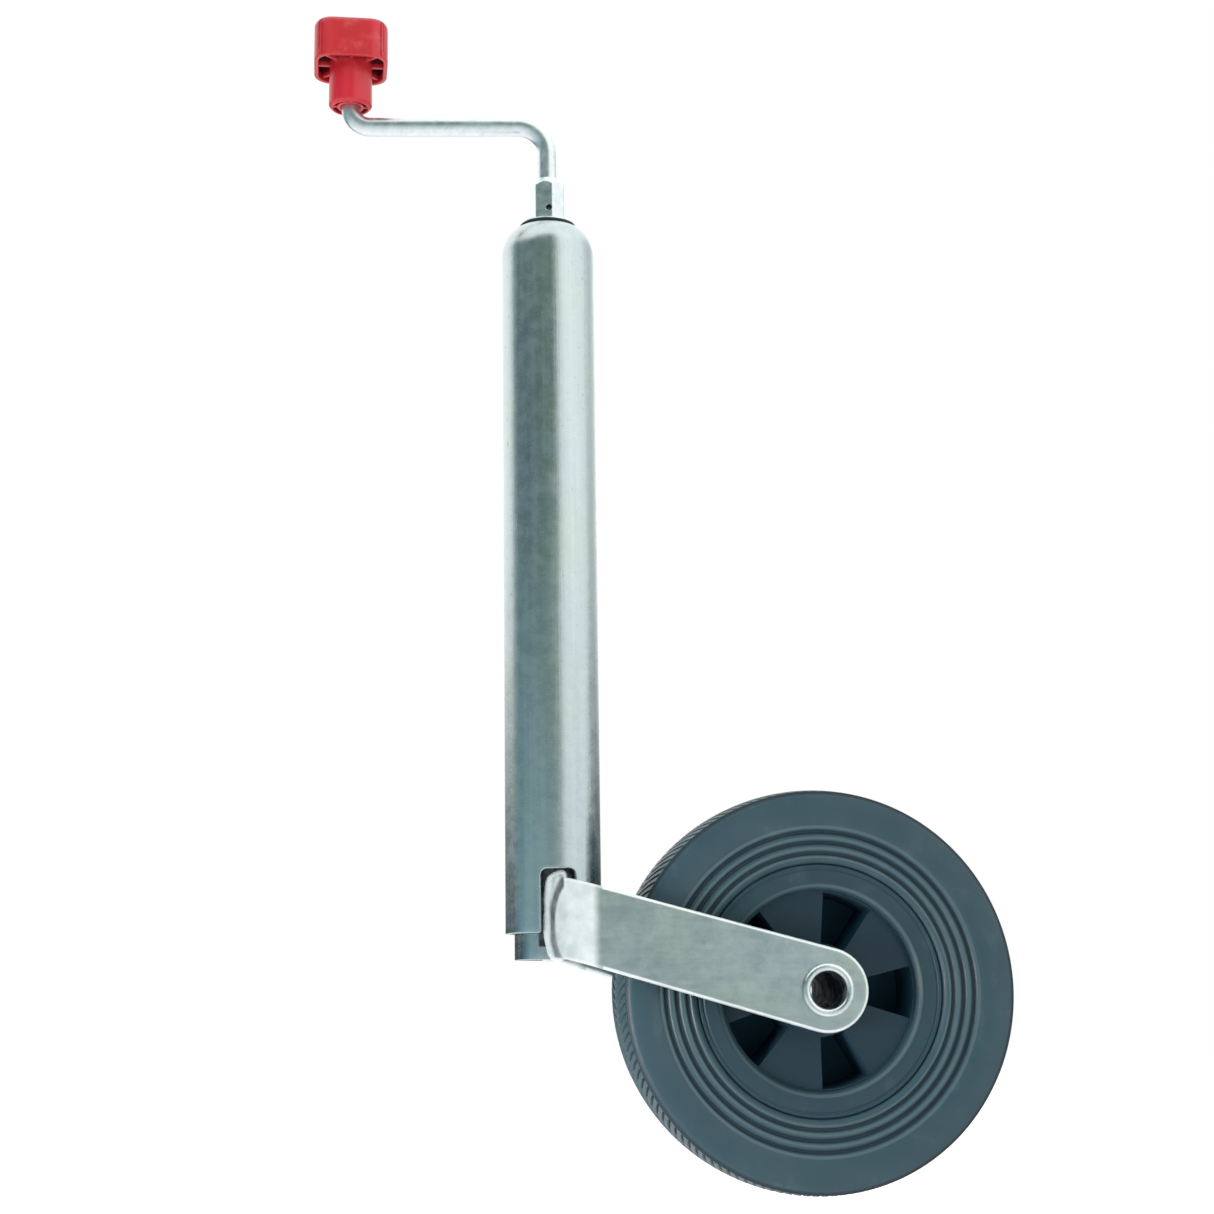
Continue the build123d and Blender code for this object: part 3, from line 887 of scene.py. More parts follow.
@dataclass(frozen=True)
class Metal:
    """A plated or machined metal.

    Attributes:
        name: The material's name.
        cool: The colour of its bluer patches.
        warm: The colour of its greener or warmer patches.
        roughness: Its middle roughness.
        feature: What the pattern follows.
        grain: How strong the fine bump is, from 0 to 1.
        dull: The colour of dulled and soiled spots.
        patches: Places that are coloured differently.
    """

    name: str
    cool: tuple[float, float, float]
    warm: tuple[float, float, float]
    roughness: float
    feature: Feature = Feature.PLAIN
    grain: float = 0.5
    dull: tuple[float, float, float] = (0.36, 0.38, 0.38)
    patches: tuple[Patch, ...] = ()

    def material(self) -> bpy.types.Material:
        """Build the node tree.

        Patches of two tints follow broad noise, crystals of zinc vary tint and roughness a little,
        streaks run along the tube or bar, dull spots are scattered, and fine grain is in the bump.

        Returns:
            The material.
        """
        made = bpy.data.materials.new(self.name)
        made.use_nodes = True
        graph = Graph(made.node_tree)
        stretch = {
            Feature.DRAWN: (1.0, 1.0, 0.02),
            Feature.ROLLED: (0.22, 1.0, 1.0),
            Feature.PLAIN: (1.0, 1.0, 1.0),
            Feature.WELDED: (1.0, 1.0, 1.0),
        }[self.feature]
        plain = graph.places()
        streaked = graph.places(stretch)
        patches = graph.noise(plain, 26, 2).between(0.36, 0.66)
        mottle = graph.noise(plain, 120, 4, 0.6).between(0.3, 0.72)
        streaks = graph.noise(streaked, 240, 3, 0.6).between(0.28, 0.74)
        crystals = graph.cells(plain, 330)
        spots = graph.noise(plain, 420, 2, 0.5).between(0.66, 0.76)
        colour = graph.blend(patches * 0.7 + streaks * 0.3, self.cool, self.warm)
        shade = 0.85 + 0.06 * mottle + 0.12 * streaks + 0.05 * crystals
        grey = graph.node("ShaderNodeCombineColor", None, {0: shade, 1: shade, 2: shade}).outputs[0]
        colour = graph.blend(1.0, colour, grey, "MULTIPLY")
        colour = graph.blend(spots * 0.35, colour, self.dull)
        rough = self.roughness - 0.05 + 0.08 * mottle + 0.05 * streaks + 0.03 * crystals + 0.14 * spots
        fine = graph.noise(streaked, 900, 3, 0.7)
        waves = graph.noise(plain, 55, 2, 0.4)
        height = fine * 0.35 * self.grain + waves * 0.9 + mottle * 0.25 * self.grain
        normal = graph.bump(height, 0.00022)
        if self.feature is Feature.WELDED:
            normal = graph.bump(graph.noise(plain, 700, 3, 0.6), 0.0004, 0.6, normal)
        metallic: Term | float = 1.0
        # The patches paint shade into creases and hollows and highlights onto bright bends and edges.
        for patch in self.patches:
            ragged = patch.zone.mask(graph) * patch.cover * (0.82 + 0.3 * mottle)
            ragged = ragged.math("MINIMUM", 1.0)
            colour = graph.blend(ragged, colour, patch.colour)
            rough = rough + ragged * (patch.roughness - self.roughness)
            metallic = metallic - ragged * (1.0 - patch.metallic)
        inputs = {"Base Color": colour, "Metallic": metallic, "Roughness": rough, "Normal": normal}
        shader = graph.node("ShaderNodeBsdfPrincipled", None, inputs)
        graph.node("ShaderNodeOutputMaterial", None, {"Surface": shader.outputs[0]})
        return made


@dataclass(frozen=True)
class Moulded:
    """A moulded plastic or rubber.

    Attributes:
        name: The material's name.
        colour: Its main colour.
        tint: The colour that it drifts to in broad patches.
        worn: The colour of scuffs and bloom.
        roughness: Its middle roughness.
        grain_scale: How fine its surface grain is.
        grain_depth: How deep that grain is, in metres.
        scuffs: How much of it is scuffed, from 0 to 1.
        coat: Strength of a clear gloss over it.
        specular: How strongly its surface reflects, around 0.5.
        patches: Places that are coloured differently.
    """

    name: str
    colour: tuple[float, float, float]
    tint: tuple[float, float, float]
    worn: tuple[float, float, float]
    roughness: float
    grain_scale: float = 900.0
    grain_depth: float = 0.00006
    scuffs: float = 0.2
    coat: float = 0.0
    specular: float = 0.5
    patches: tuple[Patch, ...] = ()

    def material(self) -> bpy.types.Material:
        """Build the node tree: two tints in patches, scuffs that are paler and duller, and a moulded grain.

        Returns:
            The material.
        """
        made = bpy.data.materials.new(self.name)
        made.use_nodes = True
        graph = Graph(made.node_tree)
        place = graph.places()
        patches = graph.noise(place, 38, 3, 0.6).between(0.32, 0.7)
        cloud = graph.noise(place, 150, 4, 0.65).between(0.3, 0.75)
        scratch = graph.noise(graph.places((1.0, 0.12, 0.35)), 520, 3, 0.7).between(0.62, 0.72)
        rub = graph.noise(place, 75, 4, 0.6).between(0.56, 0.72)
        worn = (scratch * 0.5 + rub * cloud) * self.scuffs
        colour = graph.blend(patches * 0.75, self.colour, self.tint)
        colour = graph.blend(worn, colour, self.worn)
        rough = self.roughness - 0.05 + 0.1 * cloud + 0.25 * worn
        # The patches paint shade into recesses and grooves and highlights onto ridges and steps.
        for patch in self.patches:
            share = patch.zone.mask(graph) * patch.cover
            colour = graph.blend(share, colour, patch.colour)
            rough = rough + share * (patch.roughness - self.roughness)
        grain = graph.noise(place, self.grain_scale, 2, 0.6)
        waves = graph.noise(place, 60, 2, 0.4)
        normal = graph.bump(grain + waves * 1.5, self.grain_depth)
        inputs = {"Base Color": colour, "Roughness": rough, "Normal": normal, "Coat Weight": self.coat}
        shader = graph.node("ShaderNodeBsdfPrincipled", None, inputs)
        shader.inputs["Coat Roughness"].default_value = 0.12
        shader.inputs["Specular IOR Level"].default_value = self.specular
        graph.node("ShaderNodeOutputMaterial", None, {"Surface": shader.outputs[0]})
        return made


# Painted shade, laid into creases and holes: the dome's mouth, the bush below its lip and the collar's pin
# hole.
PAINTED_SHADE = (0.012, 0.020, 0.024)
# Painted shade for hollows: inside the tubes' bores and on the leg where it shows in the fork's slots.
PAINTED_HOLLOW_SHADE = (0.016, 0.026, 0.030)
# A pale colour painted on as a highlight: over the strap's bends, along its rolled edges and on the weld
# beads.
PAINTED_HIGHLIGHT = (0.86, 0.90, 0.90)
HUB_LINE = (float(AXLE[0]), float(AXLE[2]))
GRIP_LINE = (float(GRIP[0]), float(GRIP[1]))

ZINC_TUBE = Metal(
    "zinc_tube", (0.60, 0.67, 0.71), (0.60, 0.68, 0.65), 0.25, Feature.DRAWN, 0.6,
    patches=(
        # Painted shade inside the bore, below the dome.
        Patch(RoundZone((0, 0), True, 21.8, 0.2, up(352)), PAINTED_HOLLOW_SHADE, 0.4),
        # Painted shade at the dome's mouth, in the crease against the bush.
        Patch(RoundZone((0, 0), True, 16.6, 0.9), PAINTED_SHADE),
    ),
)
ZINC_LEG = Metal(
    "zinc_leg", (0.58, 0.64, 0.67), (0.60, 0.66, 0.64), 0.24, Feature.DRAWN, 0.5,
    patches=(
        # Painted shade on the leg's wall in and round the fork's slots.
        Patch(BoxZone((-8.6, -30, up(-6)), (9, 30, up(31)), 2.0), PAINTED_HOLLOW_SHADE, 0.3, 0.5, 0.97),
        # Painted shade inside the leg's bore.
        Patch(RoundZone((0, 0), True, 17.3), PAINTED_HOLLOW_SHADE, 0.4),
    ),
)
ZINC_BAR = Metal(
    "zinc_bar", (0.53, 0.61, 0.64), (0.56, 0.64, 0.60), 0.36, Feature.ROLLED, 0.9,
    patches=(
        # Painted highlight: pale over the strap's back and bends, and along the arms' rolled edges.
        Patch(BoxZone((-20, -60, -260), (14.5, 60, -100), 5.0), PAINTED_HIGHLIGHT, 0.25, 0.5, 0.85),
        Patch(BoxZone((20, -35.86, -300), (200, -31.14, -100), 0.12), PAINTED_HIGHLIGHT, 0.3, 0.4, 0.8),
        Patch(BoxZone((20, 31.14, -300), (200, 35.86, -100), 0.12), PAINTED_HIGHLIGHT, 0.3, 0.4, 0.8),
        # Painted shade: a dark line in the crease beside the weld bead.
        Patch(RingZone((4.0, up(4)), (7.0,), 0.5, 1.1, 3.1, 1.5), (0.05, 0.07, 0.08), 0.3, 0.6, 0.85),
    ),
)
ZINC_BRIGHT = Metal("zinc_bright", (0.84, 0.90, 0.94), (0.84, 0.90, 0.91), 0.33, Feature.PLAIN, 0.4)
ZINC_COLLAR = Metal(
    "zinc_collar", (0.84, 0.90, 0.94), (0.84, 0.90, 0.91), 0.30, Feature.PLAIN, 0.4,
    # Painted shade in the cross pin's hole.
    patches=(Patch(RoundZone((0.0, up(379.2)), False, 1.9, 0.2, 7.7), PAINTED_SHADE, 0.0, 0.8),),
)
ZINC_BUSH = Metal(
    "zinc_bush", (0.80, 0.86, 0.88), (0.80, 0.86, 0.84), 0.26, Feature.PLAIN, 0.4,
    # Painted shade on the bush below the dome's lip, in the crease and inside the mouth.
    patches=(Patch(BoxZone((-40, -40, up(340)), (40, 40, up(370.9)), 0.3), PAINTED_SHADE),),
)
ZINC_AXLE = Metal(
    "zinc_axle", (0.84, 0.89, 0.91), (0.84, 0.89, 0.88), 0.24, Feature.PLAIN, 0.4,
    # Painted shade inside the axle's bore.
    patches=(Patch(RoundZone(HUB_LINE, False, 9.15, 0.35), (0.003, 0.014, 0.024), 0.0, 0.8),),
)
# The beads' pale colour, all over, is a painted highlight.
ZINC_WELD = Metal(
    "zinc_weld", PAINTED_HIGHLIGHT, (0.76, 0.80, 0.80), 0.40, Feature.WELDED, 0.8,
    patches=(Patch(BoxZone((-60, -60, -400), (60, 60, 400)), PAINTED_HIGHLIGHT, 0.3, 0.45, 0.8),),
)
BLACK_STEEL = Metal(
    "black_steel", (0.020, 0.030, 0.036), (0.026, 0.032, 0.036), 0.5, dull=(0.05, 0.05, 0.05)
)
GROUND_STEEL = Metal("ground_steel", (0.56, 0.57, 0.58), (0.58, 0.57, 0.55), 0.3)
BRONZE = Metal("bronze", (0.62, 0.46, 0.22), (0.70, 0.50, 0.26), 0.32, dull=(0.34, 0.24, 0.12))
NYLON = Moulded("nylon", (0.74, 0.74, 0.69), (0.68, 0.67, 0.60), (0.5, 0.5, 0.46), 0.42, scuffs=0.3)
RED_GRIP = Moulded(
    "red_grip", (0.52, 0.012, 0.028), (0.42, 0.022, 0.024), (0.74, 0.20, 0.20), 0.34, 1300.0, 0.00004,
    0.2, 0.12,
    patches=(
        # Painted shade in the hollow under the block, between the ribs.
        Patch(
            BoxZone(
                (GRIP_LINE[0] - 16.9, GRIP_LINE[1] - 16.4, up(464)),
                (GRIP_LINE[0] + 16.9, GRIP_LINE[1] + 16.4, up(486)), 0.5
            ),
            (0.09, 0.002, 0.006), cover=0.85,
        ),
        # Painted shade over the neck's foot, where the ring-shaped hollow is.
        Patch(RoundZone(GRIP_LINE, True, 9.4, 0.3, up(448), up(439.6)), (0.08, 0.002, 0.005), cover=0.9),
    ),
)
BLACK_RIM = Moulded(
    "black_rim", (0.013, 0.036, 0.050), (0.018, 0.041, 0.054), (0.08, 0.12, 0.14), 0.42, 1100.0,
    0.00005, 0.12,
    specular=0.35,
    patches=(
        # Painted shade over the recessed disc faces and the pockets.
        Patch(RoundZone(HUB_LINE, False, 48.4, 0.3, 16.2), (0.004, 0.019, 0.032), cover=0.85),
        # Deeper painted shade in the pockets.
        Patch(RoundZone(HUB_LINE, False, 48.4, 0.3, 14.8), (0.005, 0.034, 0.058), roughness=0.7),
        # Painted highlight: a pale ring where the disc steps up to the flange.
        Patch(RingZone(HUB_LINE, (51.3,), 0.4, 0.8), (0.07, 0.11, 0.12), roughness=0.36, cover=0.6),
    ),
)
RUBBER = Moulded(
    "rubber", (0.016, 0.044, 0.060), (0.022, 0.051, 0.066), (0.10, 0.15, 0.16), 0.45, 1500.0, 0.00005, 0.12,
    patches=(
        # Painted highlights along the sidewall ridges' crests.
        Patch(
            RingZone(HUB_LINE, (65.6, 69.7, 75.0, 80.4), 0.35, 0.7), (0.09, 0.14, 0.15), roughness=0.38,
            cover=0.36
        ),
        # Painted shade in the sidewall grooves and along the shoulder.
        Patch(RingZone(HUB_LINE, (67.3, 72.6, 78.0, 97.4), 0.5, 0.6), (0.004, 0.012, 0.018), cover=0.75),
    ),
)


def put_on(piece: bpy.types.Object, material: bpy.types.Material) -> None:
    """Put one material on a whole object.

    Args:
        piece: The object.
        material: Its material.
    """
    if not piece.material_slots:
        piece.data.materials.append(material)
    for slot in piece.material_slots:
        slot.material = material


# ---------------------------------------------------------------- tubes


@dataclass
class SlottedTube:
    """A tube with two slots in its lower rim, at -Y and +Y.

    Attributes:
        radius: Outer radius.
        wall: Wall thickness.
        bottom: Z of the lower rim.
        slot_low: X of the slots' edge on the far side from the wheel.
        slot_high: X of their edge on the wheel's side.
        slot_height: Height of the slots.
        slot_corner: Radius of the slots' upper corners.
        join: Height above the rim where the plain tube begins.
        edge: Rounding of the cut edges.
        quarter: Points round each quarter.
    """

    radius: float
    wall: float
    bottom: float
    slot_low: float
    slot_high: float
    slot_height: float
    slot_corner: float
    join: float
    edge: float = 0.5
    quarter: int = 64

    @property
    def middle(self) -> float:
        """Radius of the wall's middle.

        Returns:
            The radius.
        """
        return self.radius - self.wall / 2

    def _quarter(self, side: int, facing: int) -> tuple[Surface, np.ndarray]:
        """The wall from one slot's middle to the nearest point of the X axis.

        Args:
            side: -1 for the slot at -Y and 1 for the one at +Y.
            facing: 1 towards +X and -1 towards -X.

        Returns:
            The wall below the joint with the plain tube, and that joint's angles.
        """
        centre_x = (self.slot_low + self.slot_high) / 2
        edge_x = self.slot_high if facing > 0 else self.slot_low
        start = math.acos(centre_x / self.middle)
        end = 0.0 if facing > 0 else math.pi
        length = abs(end - start) * self.middle
        half = abs(math.acos(edge_x / self.middle) - start) * self.middle
        corners = np.array([[0, self.slot_height], [half, self.slot_height], [half, 0], [length, 0]])
        cuts = np.array([0, self.slot_corner, 0.8, 0])
        outline = rounded(corners, cuts, 12, closed=False)
        walked = np.concatenate([[0], np.cumsum(np.linalg.norm(np.diff(outline, axis=0), axis=1))])
        even = np.linspace(0, walked[-1], self.quarter + 1)
        edge = np.stack(
            [np.interp(even, walked, outline[:, 0]), np.interp(even, walked, outline[:, 1])], axis=-1
        )
        reach = np.linspace(0, length, self.quarter + 1)
        target = np.stack([reach, np.full_like(reach, self.join)], axis=-1)
        grid = rounded_sheet(edge, target, self.wall / 2, self.edge, 5, 14)
        turn = np.sign(end - start) / self.middle
        angle = (start + turn * grid[..., 0]) * side
        points = UPRIGHT.points(self.bottom + grid[..., 1], self.middle + grid[..., 2], angle)
        return Surface.from_grid(points), (start + turn * reach) * side

    def build(self, top: np.ndarray) -> Surface:
        """The whole tube.

        Args:
            top: The profile from the joint up the outside and down again inside, as (Z, radius).

        Returns:
            The tube's surface.
        """
        low, angles = self._quarter(-1, 1)
        rest = [self._quarter(1, 1), self._quarter(1, -1), self._quarter(-1, -1)]
        ring = [angles[:-1], rest[0][1][::-1][:-1], rest[1][1][:-1], rest[2][1][::-1][:-1]]
        for part, _ in rest:
            low = low + part
        return low + UPRIGHT.turned(top, np.concatenate(ring), closed=False)


@dataclass
class OuterTube:
    """The clamp tube with its swaged dome, and the bush in the dome's mouth.

    Attributes:
        wall: Wall thickness.
        straight: Length below the dome.
        dome: Outer radius of the dome's arc.
        dome_angle: The arc's angle, in degrees.
        slot_half: Half the slots' width.
        slot_height: Their height.
        slot_corner: Radius of their upper corners.
        join: Height where the plain tube above the slots begins.
        radius: The tube's outer radius.
    """

    wall: float = 2.5
    straight: float = 354.0
    dome: float = 18.0
    dome_angle: float = 60.0
    slot_half: float = 8.5
    slot_height: float = 31.2
    slot_corner: float = 6.0
    join: float = 46.0
    radius: float = field(default_factory=lambda: float(TUBE_HIGH[0]))

    def build(self) -> None:
        """Make the tube and the bush."""
        tube = SlottedTube(
            self.radius, self.wall, up(0), -self.slot_half, self.slot_half,
            self.slot_height, self.slot_corner, self.join,
        )
        centre = (self.radius - self.dome, up(self.straight))
        outer = arc(centre, self.dome, 0, self.dome_angle, 22)[:, ::-1]
        bore = self.dome - self.wall
        mouth = centre[0] + self.dome * math.cos(math.radians(self.dome_angle))
        inner_angle = math.degrees(math.acos((mouth - centre[0]) / bore))
        inner = arc(centre, bore, inner_angle, 0, 14)[:, ::-1]
        lip = rounded(np.array([outer[-2], outer[-1], inner[0], inner[1]]), 0.5, 5, closed=False)
        straight_rows = np.linspace(up(self.join), up(self.straight), 12)
        outside = np.stack([straight_rows, np.full(12, self.radius)], axis=-1)
        inside = np.stack([straight_rows[::-1], np.full(12, self.radius - self.wall)], axis=-1)
        profile = np.concatenate([outside, outer[1:-2], lip, inner[2:], inside[1:]])
        self.shell = make_piece(
            "outer_tube_shell", tube.build(profile), "outer", ("outer_tube",)
        )
        self.bush = self._bush(mouth)

    def dress(self) -> None:
        """Give the tube its zinc, with painted shade in its bore and at its mouth, and the bush a brighter
        one, with painted shade below the dome's lip.
        """
        put_on(self.shell, ZINC_TUBE.material())
        put_on(self.bush, ZINC_BUSH.material())

    def _bush(self, mouth: float) -> bpy.types.Object:
        """Make the bush: a flanged plug whose neck stands a little out of the dome's mouth, above a crease.

        Args:
            mouth: Radius of the dome's mouth.

        Returns:
            The piece.
        """
        low, high = node_box("top_bush")
        top = high[2]
        neck = mouth - 0.35
        corners = [
            (low[2], high[0]), (up(self.straight), high[0]), (up(362), 19.2), (up(367.4), neck - 1.0),
            (up(369.0), neck - 1.1), (up(370.1), neck), (top - 0.2, neck), (top, neck - 1.2),
            (top, 9.4), (top - 0.5, 9.2), (top - 0.5, 7.15), (up(346), 7.15), (up(346), 15.9),
            (low[2], 15.9),
        ]
        profile = rounded(np.array(corners), 0.5, 4)
        surface = UPRIGHT.turned(profile, circle_angles(128))
        return make_piece("top_bush_cap", surface, "outer", ("top_bush",))


@dataclass
class Leg:
    """The sliding inner tube.

    Attributes:
        wall: Wall thickness.
        edge: Rounding of its rims.
        slot: X of its slots' two edges.
        slot_up: Height of the slots' upper end.
        plain_up: Height where the plain tube goes on in long rows.
        groove_up: Heights of the guide ring's groove.
        groove_depth: Depth of that groove.
    """

    wall: float = 2.5
    edge: float = 0.5
    slot: tuple[float, float] = (-3.5, 1.8)
    slot_up: float = 28.6
    plain_up: float = 150.0
    groove_up: tuple[float, float] = (286.0, 295.0)
    groove_depth: float = 1.0

    def build(self) -> None:
        """Make the tube, with its slots for the fork and its groove for the guide ring."""
        low, high = node_box("inner_tube")
        radius = high[0]
        bottom, top = low[2], high[2]
        slot_top = up(self.slot_up) - bottom
        join = slot_top + 14
        tube = SlottedTube(radius, self.wall, bottom, *self.slot, slot_top, 0.6, join, self.edge)
        groove_low, groove_high = (up(height) for height in self.groove_up)
        plain, floor, bore = up(self.plain_up), radius - self.groove_depth, radius - self.wall
        corners = [
            (bottom + join, radius), (plain, radius), (groove_low, radius), (groove_low, floor),
            (groove_high, floor), (groove_high, radius), (top, radius), (top, bore), (plain, bore),
            (bottom + join, bore),
        ]
        profile = rounded(np.array(corners), 0.4, 4, closed=False)
        self.tube = make_piece("leg_tube", tube.build(profile), "leg", ("inner_tube",))

    def dress(self) -> None:
        """Give the tube its zinc, with painted shade round the fork and inside its bore."""
        put_on(self.tube, ZINC_LEG.material())


# ---------------------------------------------------------------- crank and grip


@dataclass
class Crank:
    """The bent rod and the hexagonal collar that joins it to the screw.

    Attributes:
        rod: The rod's radius.
        arm_up: Height of the horizontal arm's centre line.
        bends: Radii of the two bends.
        flats: Distance across the collar's flats.
        collar_turn: Angle of one of its flats' normals, in degrees.
        pin_up: Height of the cross pin.
    """

    rod: float = 5.0
    arm_up: float = 427.5
    bends: tuple[float, float] = (16.0, 11.0)
    flats: float = 16.0
    collar_turn: float = 12.0
    pin_up: float = 379.2

    def build(self) -> None:
        """Make the rod and the collar."""
        self.bar = self._rod()
        self.collar = self._collar()

    def dress(self) -> None:
        """Give both a bright zinc, the collar's with painted shade in its pin hole."""
        put_on(self.bar, ZINC_BRIGHT.material())
        put_on(self.collar, ZINC_COLLAR.material())

    def _rod(self) -> bpy.types.Object:
        """Sweep a circle along the rod's line, a little flattened where it was bent.

        Returns:
            The piece.
        """
        low, high = node_box("crank_rod")
        outward = np.array([GRIP[0], GRIP[1], 0.0])
        throw = np.linalg.norm(outward)
        outward /= throw
        first, second = self.bends
        arm = up(self.arm_up)
        steps = 20
        lower = arc((first, arm - first), first, 180, 90, steps)
        upper = arc((throw - second, arm + second), second, -90, 0, steps)
        rows = np.linspace(0, 1, 9)[:, None]
        start, end = np.array([[0.0, low[2]]]), np.array([[throw, high[2]]])
        line = np.concatenate([
            (start + (lower[0] - start) * rows)[:-1], lower[:-1],
            (lower[-1] + (upper[0] - lower[-1]) * rows)[:-1], upper[:-1],
            upper[-1] + (end - upper[-1]) * rows,
        ])
        tangent = np.gradient(line, axis=0)
        tangent /= np.linalg.norm(tangent, axis=1)[:, None]
        side = np.stack([-tangent[:, 1], tangent[:, 0]], axis=-1)
        path = line[:, :1] * outward + line[:, 1:] * UPRIGHT.along
        first_way = side[:, :1] * outward + side[:, 1:] * UPRIGHT.along
        second_way = np.broadcast_to(np.cross(outward, UPRIGHT.along), path.shape)
        bent = np.abs(np.gradient(np.unwrap(np.arctan2(tangent[:, 1], tangent[:, 0])))) > 0.02
        squeeze = 1 - 0.03 * np.convolve(bent, np.ones(5) / 5, "same")
        turn = circle_angles(48)
        circle = self.rod * np.stack([np.cos(turn), np.sin(turn)], axis=-1)
        section = circle[None] * np.stack([squeeze, np.ones_like(squeeze)], axis=-1)[:, None]
        return make_piece(
            "crank_bent_rod", swept(section, path, first_way, second_way), "crank",
            ("crank_rod",)
        )

    def _collar(self) -> bpy.types.Object:
        """Make the collar.

        At each height and angle the radius is the least of the flat's distance over the cosine of the
        angle from its normal, a corner's turning and the cone above or the chamfer below, and the cross
        pin's hole is a dip.

        Returns:
            The piece.
        """
        low, high = node_box("hex_collar")
        bottom, top = low[2], high[2]
        pin = up(self.pin_up)
        heights = np.unique(np.round(np.concatenate([
            np.linspace(bottom, bottom + 1.2, 6), np.linspace(bottom, top - 6, 22),
            np.linspace(top - 6.5, top, 20),
            pin + np.linspace(-2.0, 2.0, 33),
        ]), 4))
        fine = np.radians(np.linspace(-16, 16, 49))
        angles = np.unique(np.round(np.concatenate([
            circle_angles(144), fine + math.pi / 2, fine + 3 * math.pi / 2,
        ]), 5))
        turn = math.radians(self.collar_turn)
        sixth = math.pi / 3
        from_flat = np.mod(angles - turn + sixth / 2, sixth) - sixth / 2
        prism = np.minimum(self.flats / 2 / np.cos(from_flat), self.flats / 2 * 1.125)
        cone = 6.0 + (top - heights) * 0.66
        chamfer = self.flats / 2 - 0.1 + (heights - bottom) * 1.6
        limit = np.minimum(cone, chamfer)
        radius = np.minimum(prism[None, :], limit[:, None])
        across = radius * np.cos(angles)[None, :]
        reach = np.hypot(across, heights[:, None] - pin)
        radius = radius - 2.6 * ease((1.62 - reach) / 0.18)
        grid = UPRIGHT.points(heights[:, None], radius, angles[None, :])
        below = UPRIGHT.points(np.full((1, 1), bottom), np.full((1, 1), 7.1), angles[None, :])
        above = UPRIGHT.points(np.array([[top], [top - 1.0]]), np.array([[5.2], [5.1]]), angles[None, :])
        surface = Surface.from_grid(np.concatenate([below, grid, above]), wrap_rows=True, wrap_columns=True)
        return make_piece("collar_hexagon", surface, "crank", ("hex_collar",), 22.0)


